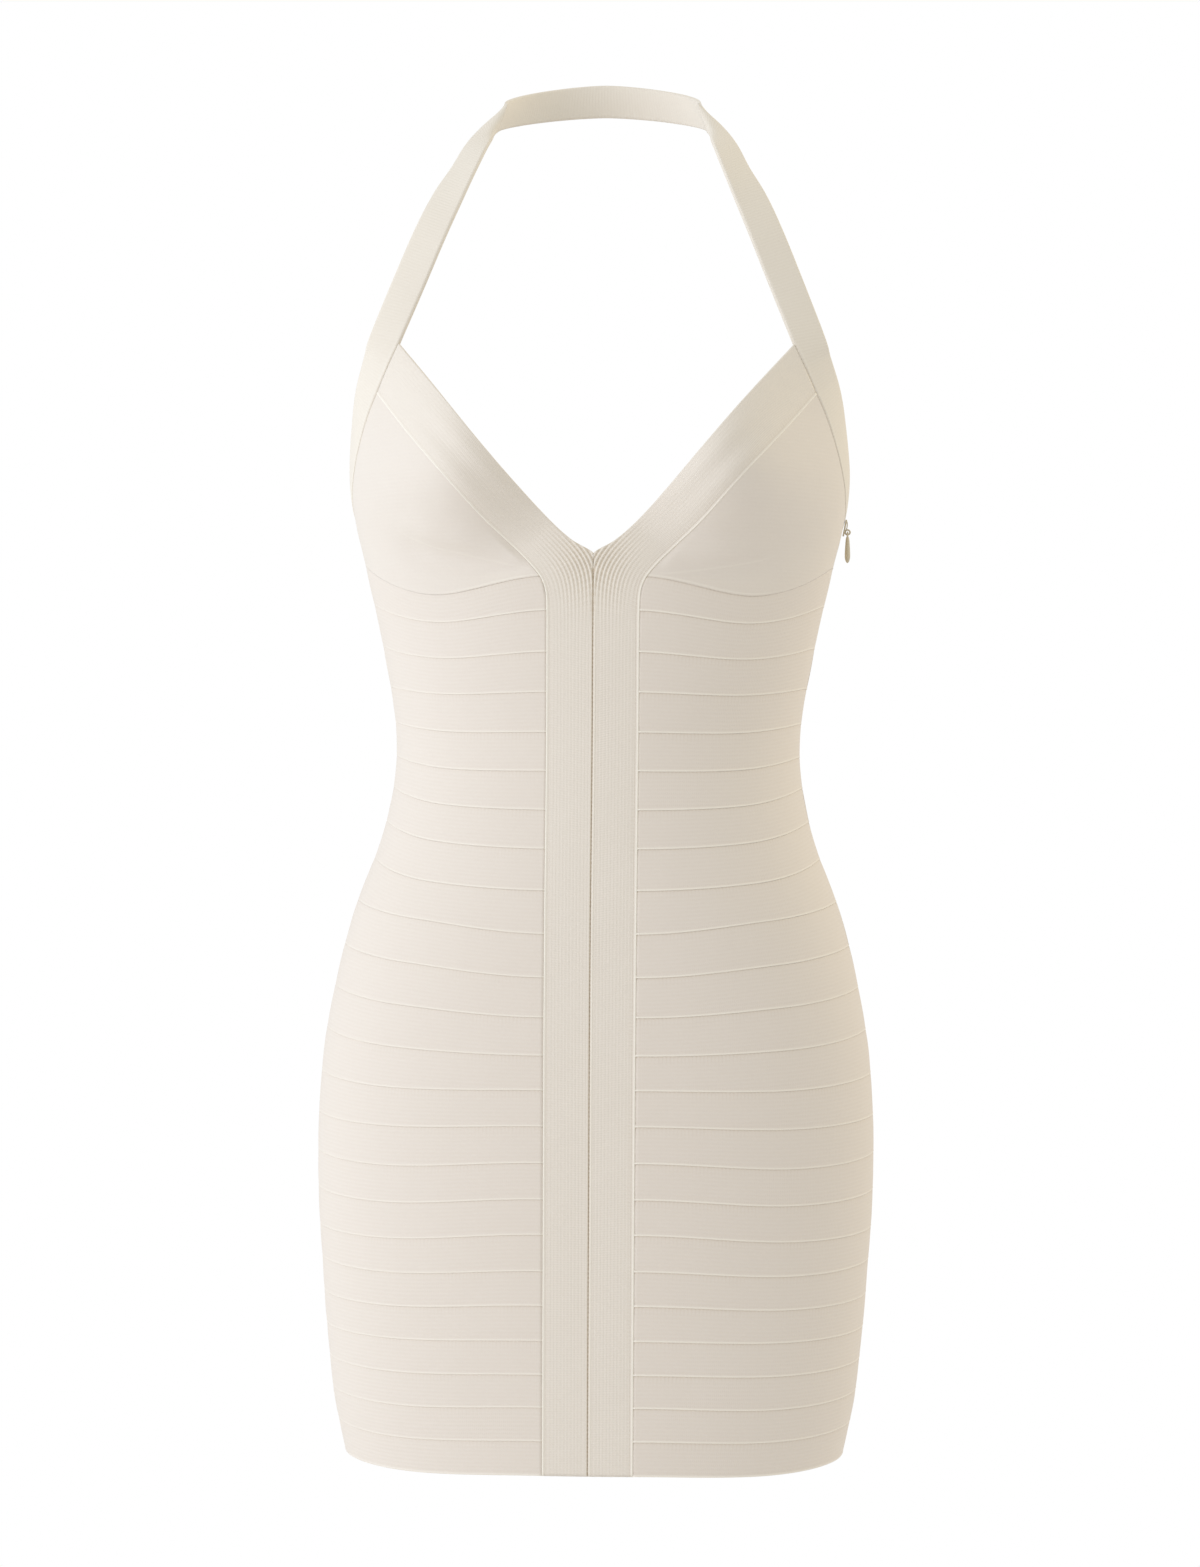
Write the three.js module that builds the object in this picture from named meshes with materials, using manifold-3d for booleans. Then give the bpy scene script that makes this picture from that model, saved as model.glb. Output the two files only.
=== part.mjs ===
// A halter bandage dress, filled out and hollow, as if held by the neck with no wearer in it.
// Millimetres. +Z is up, the front faces -Y and the wearer's left is +X.
// Every size below is taken from the plane through the side seams (y = 0) and the top of the nape
// (z = 0). At the end the dress is moved so that the origin lies inside the neck band at the nape.

import * as THREE from "three";
import { mergeVertices } from "three/addons/utils/BufferGeometryUtils.js";
import Module from "manifold-3d";

// Cloth and seams
const clothThickness = 1.6;
const bindingRise = 0.4;
const bandRise = 0.2;
const ribHeight = 0.4;
const ribsPerBand = 14;
const seamGap = 0.3;
const sideGapAngle = 0.1;

// The form that the cloth lies on: half width, front and back depth, and how square the section is
const formRows = [
  { z: -818, half: 148.5, front: 92, back: 92, square: 2.25 },
  { z: -780, half: 156, front: 94, back: 98, square: 2.25 },
  { z: -720, half: 162, front: 96, back: 108, square: 2.25 },
  { z: -640, half: 166, front: 98, back: 118, square: 2.25 },
  { z: -570, half: 162, front: 100, back: 115, square: 2.25 },
  { z: -500, half: 147, front: 98, back: 102, square: 2.25 },
  { z: -445, half: 127.5, front: 92, back: 86, square: 2.25 },
  { z: -395, half: 120.5, front: 87, back: 80, square: 2.25 },
  { z: -340, half: 128.5, front: 88, back: 88, square: 2.25 },
  { z: -290, half: 139.5, front: 88, back: 98, square: 2.3 },
  { z: -265, half: 145.5, front: 87, back: 102, square: 2.4 },
  { z: -240, half: 149, front: 85, back: 104, square: 2.5 },
  { z: -205, half: 149, front: 84, back: 104, square: 2.7 },
  { z: -170, half: 150, front: 84, back: 102, square: 2.9 },
  { z: -140, half: 149, front: 76, back: 100, square: 3.0 },
];

// The fullness of each cup: where it is deepest, how deep, and how far it fades out each way
const bust = { x: 80, z: -232, depth: 33, inward: 70, outward: 74, above: 90, below: 62 };

// Seams between the strips: height beside the centre band, halfway round the front, and from the side on
const seamRows = [
  { front: -298, middle: -308.5, side: -289 },
  { front: -318, middle: -324.5, side: -312 },
  { front: -342, middle: -345.5, side: -337 },
  { front: -365.3, middle: -366.5, side: -361 },
  { front: -388.5, middle: -388.4, side: -382 },
  { front: -411, middle: -410, side: -402 },
  { front: -433.5, middle: -431, side: -420.5 },
  { front: -456, middle: -452.5, side: -440.5 },
  { front: -480, middle: -475.5, side: -462.5 },
  { front: -505, middle: -497.5, side: -488 },
  { front: -530, middle: -523, side: -514 },
  { front: -553, middle: -547.5, side: -538.5 },
  { front: -575, middle: -572, side: -563.5 },
  { front: -595, middle: -595.5, side: -589.5 },
  { front: -615.8, middle: -618, side: -614 },
  { front: -637, middle: -641, side: -636.5 },
  { front: -658, middle: -662.5, side: -658.5 },
  { front: -678.5, middle: -683.5, side: -681 },
  { front: -699.5, middle: -703.5, side: -700 },
  { front: -719.5, middle: -723, side: -720.5 },
  { front: -739.8, middle: -742, side: -740 },
  { front: -759.5, middle: -761.5, side: -759 },
  { front: -778.5, middle: -781, side: -777.5 },
  { front: -798, middle: -800, side: -796.5 },
  { front: -818, middle: -819.5, side: -816.5 },
];
const seamAngles = { front: 10, middle: 42, side: 85 };
const frontStep = 10;
const backStep = 12;

// The centre front band: its outer seam and its inner edge, from the strap down round the V point
const bandRows = [
  { seamX: 128.6, seamZ: -190, edgeX: 115.5, edgeZ: -161.5 },
  { seamX: 108.5, seamZ: -215, edgeX: 93, edgeZ: -188 },
  { seamX: 86.5, seamZ: -240, edgeX: 70.5, edgeZ: -215 },
  { seamX: 65.5, seamZ: -263, edgeX: 47, edgeZ: -242.3 },
  { seamX: 46, seamZ: -281.5, edgeX: 25.5, edgeZ: -265.5 },
  { seamX: 36, seamZ: -291.5, edgeX: 12.5, edgeZ: -277 },
  { seamX: 29.8, seamZ: -299.5, edgeX: 0.15, edgeZ: -284.6 },
  { seamX: 27.2, seamZ: -308, edgeX: 0.15, edgeZ: -292 },
  { seamX: 26.6, seamZ: -322, edgeX: 0.15, edgeZ: -318 },
];
const bandBendEnd = -322;
const bandWidthAtWaist = 26.6;
const bandWidthAtHem = 25.9;
const hemHeight = -818;
const bandBendSteps = 6;
const bandStraightSteps = 16;

// The strap's two edges where it binds the armhole, from the side seam up to the top of the cup
const armholeRows = [
  { seamAngle: 90, seamZ: -261.5, edgeAngle: 90, edgeZ: -241 },
  { seamAngle: 80.5, seamZ: -254, edgeAngle: 86.5, edgeZ: -235 },
  { seamAngle: 72, seamZ: -240, edgeAngle: 80.5, edgeZ: -225 },
  { seamAngle: 64, seamZ: -222, edgeAngle: 73.5, edgeZ: -209.5 },
  { seamAngle: 57, seamZ: -203.5, edgeAngle: 66.5, edgeZ: -192 },
  { seamAngle: 51.6, seamZ: -190, edgeAngle: 60.5, edgeZ: -178 },
];

// The strap's two edges from the top of the cup to the shoulder
const strapRows = [
  { neckX: 122.3, neckY: -63, neckZ: -176.2, armX: 137, armY: -54, armZ: -167, sewn: true },
  { neckX: 115.5, neckY: -67, neckZ: -161.5, armX: 134, armY: -57, armZ: -157, sewn: true },
  { neckX: 103, neckY: -61, neckZ: -131, armX: 121.5, armY: -53, armZ: -124.5 },
  { neckX: 90.6, neckY: -55, neckZ: -99.4, armX: 108.7, armY: -46, armZ: -92 },
  { neckX: 81.5, neckY: -46, neckZ: -76, armX: 98.5, armY: -35, armZ: -69 },
  { neckX: 75.5, neckY: -38, neckZ: -60, armX: 89.2, armY: -24, armZ: -52.5 },
  { neckX: 69.8, neckY: -26, neckZ: -44.5, armX: 81.5, armY: -10.5, armZ: -36.5 },
  { neckX: 66, neckY: -13, neckZ: -34, armX: 72.5, armY: 2, armZ: -23.5 },
  { neckX: 63.6, neckY: 2, neckZ: -27.8, armX: 57.5, armY: 9, armZ: -8.5 },
];

// The neck band: an oval round the back of the neck that falls towards the shoulders
const neckLower = { half: 63.6, centreY: 2, back: 60, top: -8.4, fall: 19.4 };
const neckUpper = { half: 57.5, centreY: 9, back: 51.5, top: 11.3, fall: 19.8 };
const neckFallPower = 0.85;
const neckSteps = 8;
const nape = { y: 59.65, z: 1.45 };

// The top of the back: its binding dips below the V point, and the first few seams dip with it
const backTop = { upper: -241, lower: -261.5, dip: 37, dipSeams: 7, seamPower: 1.5 };

// The zip's slider and pull, in the wearer's left side seam
const slider = {
  height: -264, lift: 0.75, thickness: 1.0, width: 4.2, above: 5, below: 5,
  bridgeWidth: 1.6, bridgeInner: 0.95, bridgeOuter: 1.95, bridgeOut: 3.35, bridgeDown: 2.2,
};
const pull = {
  barHalf: 0.5, holeHalf: 1.25, holeBottom: -2.6, eyeHalf: 2.2, eyeBottom: -3.8,
  eyeNeck: 1.3, corner: 0.45, flatness: 0.78,
};
const dropRows = [
  { z: -2.6, radius: 1.1 },
  { z: -5, radius: 1.45 },
  { z: -9, radius: 1.95 },
  { z: -13, radius: 2.35 },
  { z: -15.5, radius: 2.3 },
  { z: -17.4, radius: 1.5 },
];
const dropBottom = -18.4;

// How finely round shapes, seams and cups are divided
const ringSegments = 10;
const eyeSegments = 4;
const dropSegments = 14;
const searchSteps = 40;
const cupRowCount = 12;
const cupSideRowCount = 2;
const cupStripLines = 3;
const strapStep = 0.5;
const weldDistance = 1e-4;

// The top of the cup ends this share of a row below the strap, and its lower seam's sag fades upwards
const cupTop = 0.03;
const sagFadePower = 1.5;

const radians = THREE.MathUtils.degToRad;
const degrees = THREE.MathUtils.radToDeg;
const mix = THREE.MathUtils.lerp;

const knit = new THREE.MeshStandardMaterial({ color: 0xe6dfd3, roughness: 0.85, metalness: 0 });
const ribKnit = new THREE.MeshStandardMaterial({ color: 0xe9e3d6, roughness: 0.8, metalness: 0 });
const enamel = new THREE.MeshStandardMaterial({ color: 0xd9d2bd, roughness: 0.4, metalness: 0.2 });

// A smooth curve through one column of a table, at a place given in the table's key column
function slopeOf(rows, key, column, i) {
  const before = rows[Math.max(i - 1, 0)];
  const after = rows[Math.min(i + 1, rows.length - 1)];
  return (after[column] - before[column]) / (after[key] - before[key]);
}

function curveValue(rows, key, column, at) {
  let i = 0;
  while (i < rows.length - 2 && at > rows[i + 1][key]) {
    i += 1;
  }
  const span = rows[i + 1][key] - rows[i][key];
  const t = THREE.MathUtils.clamp((at - rows[i][key]) / span, 0, 1);
  const start = rows[i][column];
  const end = rows[i + 1][column];
  const startSlope = slopeOf(rows, key, column, i) * span;
  const endSlope = slopeOf(rows, key, column, i + 1) * span;
  const t2 = t * t;
  const t3 = t2 * t;
  const ends = (2 * t3 - 3 * t2 + 1) * start + (3 * t2 - 2 * t3) * end;
  return ends + (t3 - 2 * t2 + t) * startSlope + (t3 - t2) * endSlope;
}

// The same, where the table's rows are simply numbered from 0
function numbered(rows) {
  return rows.map((row, place) => ({ ...row, place }));
}

function rowAt(rows, place, columns) {
  const found = {};
  for (const column of columns) {
    found[column] = curveValue(rows, "place", column, place);
  }
  return found;
}

// The form
function section(z) {
  return {
    half: curveValue(formRows, "z", "half", z),
    front: curveValue(formRows, "z", "front", z),
    back: curveValue(formRows, "z", "back", z),
    square: curveValue(formRows, "z", "square", z),
  };
}

function bustDepth(x, z) {
  const across = Math.abs(x) - bust.x;
  const up = z - bust.z;
  const acrossReach = across > 0 ? bust.outward : bust.inward;
  const upReach = up > 0 ? bust.above : bust.below;
  const distance = Math.hypot(across / acrossReach, up / upReach);
  if (distance >= 1) {
    return 0;
  }
  return bust.depth * Math.cos((Math.PI * distance) / 2) ** 2;
}

// Angles are in degrees from the centre front, positive towards the wearer's left
function formPoint(angle, z) {
  const { half, front, back, square } = section(z);
  const across = Math.sin(radians(angle));
  const ahead = Math.cos(radians(angle));
  const reach = (Math.abs(across) ** square + Math.abs(ahead) ** square) ** (-1 / square);
  const x = half * across * reach;
  if (ahead > 0) {
    return new THREE.Vector3(x, -front * ahead * reach - bustDepth(x, z), z);
  }
  return new THREE.Vector3(x, -back * ahead * reach, z);
}

function formNormal(angle, z) {
  const turn = 0.5;
  const climb = 1;
  const around = formPoint(angle + turn, z).sub(formPoint(angle - turn, z));
  const up = formPoint(angle, z + climb).sub(formPoint(angle, z - climb));
  return around.cross(up).normalize();
}

function angleOf(x, z) {
  const { half, square } = section(z);
  const share = (Math.abs(x) / half) ** square;
  const angle = degrees(Math.atan((share / (1 - share)) ** (1 / square)));
  return Math.sign(x) * angle;
}

function formSpot(angle, z) {
  return { point: formPoint(angle, z), normal: formNormal(angle, z) };
}

// A closed wall from a grid of spots on its middle surface. Ribs, if any, run along the grid's rows
// on every second column, over an inside that keeps only some of the columns.
function addQuad(indices, a, b, c, d) {
  indices.push(a, b, c, a, c, d);
}

function addEnd(indices, outer, inner, turned) {
  let a = 0;
  let b = 0;
  while (a < outer.length - 1 || b < inner.length - 1) {
    const nextOuter = (a + 1) / (outer.length - 1);
    const nextInner = (b + 1) / (inner.length - 1);
    const stepOuter = a < outer.length - 1 && (nextOuter <= nextInner || b === inner.length - 1);
    const triangle = stepOuter
      ? [outer[a + 1], outer[a], inner[b]]
      : [outer[a], inner[b], inner[b + 1]];
    if (turned) {
      triangle.reverse();
    }
    indices.push(...triangle);
    a += stepOuter ? 1 : 0;
    b += stepOuter ? 0 : 1;
  }
}

function enclosedVolume(positions, indices) {
  const corner = (index) => new THREE.Vector3().fromArray(positions, index * 3);
  let volume = 0;
  for (let i = 0; i < indices.length; i += 3) {
    const [a, b, c] = [corner(indices[i]), corner(indices[i + 1]), corner(indices[i + 2])];
    volume += a.dot(b.cross(c)) / 6;
  }
  return volume;
}

function wallGeometry(grid, { rise = 0, ribs = 0, insideEvery = 1 } = {}) {
  const positions = [];
  const indices = [];
  const addPoint = (spot, distance) => {
    const moved = spot.point.clone().addScaledVector(spot.normal, distance);
    positions.push(moved.x, moved.y, moved.z);
    return positions.length / 3 - 1;
  };
  const outer = grid.map((line) =>
    line.map((spot, column) => addPoint(spot, rise + (column % 2 === 1 ? ribs : 0))));
  const inner = grid.map((line) =>
    line.filter((spot, column) => column % insideEvery === 0)
      .map((spot) => addPoint(spot, -clothThickness)));
  const lastOuter = outer[0].length - 1;
  const lastInner = inner[0].length - 1;
  for (let i = 0; i < grid.length - 1; i += 1) {
    for (let j = 0; j < lastOuter; j += 1) {
      addQuad(indices, outer[i][j], outer[i][j + 1], outer[i + 1][j + 1], outer[i + 1][j]);
    }
    for (let j = 0; j < lastInner; j += 1) {
      addQuad(indices, inner[i][j], inner[i + 1][j], inner[i + 1][j + 1], inner[i][j + 1]);
    }
    addQuad(indices, outer[i][0], outer[i + 1][0], inner[i + 1][0], inner[i][0]);
    addQuad(indices, outer[i + 1][lastOuter], outer[i][lastOuter],
      inner[i][lastInner], inner[i + 1][lastInner]);
  }
  addEnd(indices, outer[0], inner[0], false);
  addEnd(indices, outer[grid.length - 1], inner[grid.length - 1], true);
  if (enclosedVolume(positions, indices) < 0) {
    indices.reverse();
  }
  const geometry = new THREE.BufferGeometry();
  geometry.setAttribute("position", new THREE.Float32BufferAttribute(positions, 3));
  geometry.setIndex(indices);
  geometry.computeVertexNormals();
  return geometry;
}

function mirrored(grid) {
  const flip = (v) => new THREE.Vector3(-v.x, v.y, v.z);
  return grid.map((line) => line.map(({ point, normal }) =>
    ({ point: flip(point), normal: flip(normal) })));
}

function named(name, geometry, material) {
  const mesh = new THREE.Mesh(geometry, material);
  mesh.name = name;
  return mesh;
}

// Seams between the strips: the upper ones dip at the centre back and the rest are level there
function backDip(angle, power) {
  return backTop.dip * Math.sin(radians(Math.abs(angle) - 90)) ** power;
}

function seamHeight(row, angle) {
  const turned = Math.abs(angle);
  if (turned > 90) {
    const share = Math.max(0, 1 - seamRows.indexOf(row) / backTop.dipSeams);
    return row.side - share * backDip(angle, backTop.seamPower);
  }
  if (turned >= seamAngles.side) {
    return row.side;
  }
  if (turned <= seamAngles.front) {
    return row.front;
  }
  const { front, middle, side } = seamAngles;
  const firstHalf = turned < middle;
  const span = firstHalf ? middle - front : side - middle;
  const t = firstHalf ? (turned - front) / span : (turned - middle) / span;
  const from = firstHalf ? row.front : row.middle;
  const to = firstHalf ? row.middle : row.side;
  const middleSlope = ((row.side - row.front) / (side - front)) * span;
  const slopeShare = firstHalf ? t * t * t - t * t : t * t * t - 2 * t * t + t;
  return mix(from, to, t * t * (3 - 2 * t)) + slopeShare * middleSlope;
}

// The centre front bands
const bandTable = numbered(bandRows);
const bandColumns = ["seamX", "seamZ", "edgeX", "edgeZ"];
const bendPlace = bandRows.length - 1;

function straightBandWidth(z) {
  return mix(bandWidthAtWaist, bandWidthAtHem, (bandBendEnd - z) / (bandBendEnd - hemHeight));
}

function placeOfHeight(z) {
  let above = 0;
  let below = bendPlace;
  for (let i = 0; i < searchSteps; i += 1) {
    const middle = (above + below) / 2;
    if (curveValue(bandTable, "place", "seamZ", middle) > z) {
      above = middle;
    } else {
      below = middle;
    }
  }
  return above;
}

function bandSeamX(z) {
  if (z <= bandBendEnd) {
    return straightBandWidth(z);
  }
  return curveValue(bandTable, "place", "seamX", placeOfHeight(z));
}

// A spot on the band's row: 0 is the outer seam and 1 is the inner edge
function bandSpot(row, share) {
  const x = Math.max(mix(row.seamX, row.edgeX, share), seamGap / 2);
  const z = mix(row.seamZ, row.edgeZ, share);
  return formSpot(angleOf(x, z), z);
}

function bandWidthOf(row) {
  return Math.hypot(row.seamX - row.edgeX, row.seamZ - row.edgeZ);
}

const cupCorner = placeOfHeight(seamRows[0].front);

function bandStations() {
  const stations = [];
  for (let i = 0; i <= cupRowCount; i += 1) {
    stations.push(rowAt(bandTable, (cupCorner * i) / cupRowCount, bandColumns));
  }
  for (let i = 1; i <= bandBendSteps; i += 1) {
    const place = mix(cupCorner, bendPlace, i / bandBendSteps);
    stations.push(rowAt(bandTable, place, bandColumns));
  }
  const centreX = seamGap / 2;
  for (let i = 1; i <= bandStraightSteps; i += 1) {
    const share = i / bandStraightSteps;
    const seamZ = mix(bandBendEnd, hemHeight, share);
    const edgeZ = mix(bandRows[bendPlace].edgeZ, hemHeight, share);
    stations.push({ seamX: straightBandWidth(seamZ), seamZ, edgeX: centreX, edgeZ });
  }
  return stations;
}

function bandGrid() {
  const columns = ribsPerBand * 2;
  return bandStations().map((row) => {
    const edgeGap = seamGap / 2 / bandWidthOf(row);
    const line = [];
    for (let j = 0; j <= columns; j += 1) {
      line.push(bandSpot(row, mix(edgeGap, 1, j / columns)));
    }
    return line;
  });
}

// The strips
function angleStations(first, last) {
  const stations = [];
  for (let angle = 2 * frontStep; angle < 90; angle += frontStep) {
    stations.push(angle);
  }
  for (let angle = 90; angle < last; angle += backStep) {
    stations.push(angle);
  }
  return [first, ...stations.filter((angle) => angle > first), last];
}

function stripGrid(upperRow, lowerRow, lastAngle, lines) {
  const grid = [];
  const stations = angleStations(seamAngles.front, lastAngle);
  stations.forEach((angle, i) => {
    const line = [];
    for (let j = 0; j <= lines; j += 1) {
      const top = seamHeight(upperRow, angle) - seamGap / 2;
      const bottom = seamHeight(lowerRow, angle) + seamGap / 2;
      const z = mix(top, bottom, j / lines);
      const turned = i === 0 ? angleOf(bandSeamX(z) + seamGap / 2, z) : angle;
      line.push(formSpot(turned, z));
    }
    grid.push(line);
  });
  return grid;
}

function backGrid(topAt, bottomAt) {
  return angleStations(90 + sideGapAngle, 270 - sideGapAngle).map((angle) =>
    [formSpot(angle, topAt(angle)), formSpot(angle, bottomAt(angle))]);
}

// The cups, from the centre band's seam to the side seam and the strap
const armholeTable = numbered(armholeRows);
const armholeColumns = ["seamAngle", "seamZ", "edgeAngle", "edgeZ"];
const lastSideAngle = 90 - sideGapAngle;

// Each row of the cup starts at the centre band's seam and ends at the side seam or the strap
function cupRowStart(i) {
  const row = rowAt(bandTable, mix(cupCorner, cupTop, i / cupRowCount), bandColumns);
  const past = -seamGap / 2 / bandWidthOf(row);
  const x = mix(row.seamX, row.edgeX, past);
  const z = i === 0 ? row.seamZ + seamGap / 2 : mix(row.seamZ, row.edgeZ, past);
  return { angle: angleOf(x, z), z };
}

function cupRowEnd(i) {
  const corner = armholeRows[0];
  if (i <= cupSideRowCount) {
    const bottom = seamRows[0].side + seamGap / 2;
    const top = corner.seamZ - seamGap;
    return { angle: lastSideAngle, z: mix(bottom, top, i / cupSideRowCount) };
  }
  const lastRow = armholeRows.length - 1;
  const place = (lastRow * (i - cupSideRowCount)) / (cupRowCount - cupSideRowCount);
  const row = rowAt(armholeTable, place, armholeColumns);
  return { angle: Math.min(row.seamAngle, lastSideAngle), z: row.seamZ };
}

function cupGrid() {
  const first = cupRowStart(0);
  const last = cupRowEnd(0);
  const stations = angleStations(first.angle, last.angle);
  const shares = stations.map((angle) => (angle - first.angle) / (last.angle - first.angle));
  const sags = stations.map((angle, j) => (j === 0
    ? 0
    : seamHeight(seamRows[0], angle) + seamGap / 2 - mix(first.z, last.z, shares[j])));
  const grid = [];
  for (let i = 0; i <= cupRowCount; i += 1) {
    const start = cupRowStart(i);
    const end = cupRowEnd(i);
    const fade = (1 - i / cupRowCount) ** sagFadePower;
    grid.push(shares.map((share, j) => formSpot(
      mix(start.angle, end.angle, share),
      mix(start.z, end.z, share) + sags[j] * fade,
    )));
  }
  return grid;
}

// The strap: bound to the armhole, then free over the shoulder, then round the neck
const strapTable = numbered(strapRows);
const strapColumns = ["neckX", "neckY", "neckZ", "armX", "armY", "armZ"];
const sewnPlaces = strapRows.filter((row) => row.sewn).length - 1;

function neckRail(oval, turn) {
  const fall = oval.fall * (1 - Math.cos(turn)) ** neckFallPower;
  const y = oval.centreY + oval.back * Math.cos(turn);
  return new THREE.Vector3(oval.half * Math.sin(turn), y, oval.top - fall);
}

function armholeLines() {
  const lines = [];
  const steps = cupRowCount - cupSideRowCount;
  for (let i = 0; i <= steps; i += 1) {
    const place = ((armholeRows.length - 1) * i) / steps;
    const row = rowAt(armholeTable, place, armholeColumns);
    const seamAngle = Math.min(row.seamAngle, lastSideAngle);
    const edgeAngle = Math.min(row.edgeAngle, lastSideAngle);
    const neck = formPoint(seamAngle, row.seamZ);
    const arm = formPoint(edgeAngle, row.edgeZ);
    const middle = formPoint(mix(seamAngle, edgeAngle, 0.5), mix(row.seamZ, row.edgeZ, 0.5));
    lines.push({ neck, middle, arm, seamNormal: formNormal(seamAngle, row.seamZ) });
  }
  return lines;
}

function freeLines() {
  const lines = [];
  for (let place = 0; place <= strapRows.length - 1; place += strapStep) {
    const row = rowAt(strapTable, place, strapColumns);
    const sewn = place <= sewnPlaces;
    const angle = angleOf(row.neckX, row.neckZ);
    const neck = sewn
      ? formPoint(angle, row.neckZ)
      : new THREE.Vector3(row.neckX, row.neckY, row.neckZ);
    const arm = new THREE.Vector3(row.armX, row.armY, row.armZ);
    const middle = neck.clone().lerp(arm, 0.5);
    lines.push({ neck, middle, arm, seamNormal: sewn ? formNormal(angle, row.neckZ) : null });
  }
  return lines;
}

function neckLines() {
  const lines = [];
  for (let i = 1; i <= neckSteps; i += 1) {
    const turn = mix(Math.PI / 2, 0, i / neckSteps);
    const neck = neckRail(neckLower, turn);
    const arm = neckRail(neckUpper, turn);
    lines.push({ neck, middle: neck.clone().lerp(arm, 0.5), arm, seamNormal: null });
  }
  return lines;
}

function ribbonSpots(lines) {
  return lines.map((line, i) => {
    const before = lines[Math.max(i - 1, 0)];
    const after = lines[Math.min(i + 1, lines.length - 1)];
    const forward = after.middle.clone().sub(before.middle);
    const across = line.arm.clone().sub(line.neck);
    const normal = across.cross(forward).normalize();
    const seamSide = line.seamNormal ?? normal;
    const middleNormal = seamSide.clone().add(normal).normalize();
    const width = line.arm.distanceTo(line.neck);
    const inset = line.seamNormal ? seamGap / width : 0;
    return [
      { point: line.neck.clone().lerp(line.arm, inset), normal: seamSide },
      { point: line.middle, normal: middleNormal },
      { point: line.arm, normal },
    ];
  });
}

function halterGrids() {
  const armhole = armholeLines();
  const free = freeLines();
  const neck = neckLines();
  const spots = ribbonSpots([...armhole, ...free, ...neck]);
  const fold = armhole.length + free.length - 1;
  const strap = spots.slice(0, fold + 1);
  const halfNeck = spots.slice(fold);
  strap[fold] = pulledBack(strap[fold], strap[fold - 1]);
  halfNeck[0] = pulledBack(halfNeck[0], halfNeck[1]);
  halfNeck[halfNeck.length - 1].forEach((spot) => {
    spot.point.x = 0;
    spot.normal.setX(0).normalize();
  });
  const otherHalf = mirrored(halfNeck).reverse().slice(1);
  return { strap, neckBand: [...halfNeck, ...otherHalf] };
}

function pulledBack(line, towards) {
  return line.map((spot, j) => {
    const share = seamGap / 2 / spot.point.distanceTo(towards[j].point);
    return { point: spot.point.clone().lerp(towards[j].point, share), normal: spot.normal };
  });
}

// The zip's slider and pull, joined from simple shapes
const wasm = await Module();
wasm.setup();

function asSolid(geometry) {
  geometry.deleteAttribute("normal");
  geometry.deleteAttribute("uv");
  const merged = mergeVertices(geometry, weldDistance);
  const triangles = [];
  for (let i = 0; i < merged.index.count; i += 3) {
    const [a, b, c] = merged.index.array.slice(i, i + 3);
    if (a !== b && b !== c && c !== a) {
      triangles.push(a, b, c);
    }
  }
  return new wasm.Manifold(new wasm.Mesh({
    numProp: 3,
    vertProperties: Float32Array.from(merged.attributes.position.array),
    triVerts: Uint32Array.from(triangles),
  }));
}

function asGeometry(solid) {
  const mesh = solid.getMesh();
  const geometry = new THREE.BufferGeometry();
  geometry.setAttribute("position", new THREE.BufferAttribute(mesh.vertProperties, 3));
  geometry.setIndex(new THREE.BufferAttribute(mesh.triVerts, 1));
  geometry.computeVertexNormals();
  return geometry;
}

function extruded(shape, depth, curveSegments) {
  const geometry = new THREE.ExtrudeGeometry(shape, { depth, bevelEnabled: false, curveSegments });
  return geometry.translate(0, 0, -depth / 2);
}

// In the slider's own frame x points out of the cloth, y runs front to back and z up along the seam
function sliderGeometry() {
  const height = slider.above + slider.below;
  const plate = new THREE.BoxGeometry(slider.thickness, slider.width, height);
  const middle = (slider.above - slider.below) / 2;
  plate.translate(slider.lift + slider.thickness / 2, 0, middle);
  const ring = new THREE.Shape().absarc(0, 0, slider.bridgeOuter, 0, 2 * Math.PI);
  ring.holes.push(new THREE.Path().absarc(0, 0, slider.bridgeInner, 0, 2 * Math.PI));
  const bridge = extruded(ring, slider.bridgeWidth, ringSegments).rotateX(Math.PI / 2);
  bridge.translate(slider.bridgeOut, 0, -slider.bridgeDown);
  return asGeometry(asSolid(plate).add(asSolid(bridge)));
}

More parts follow.
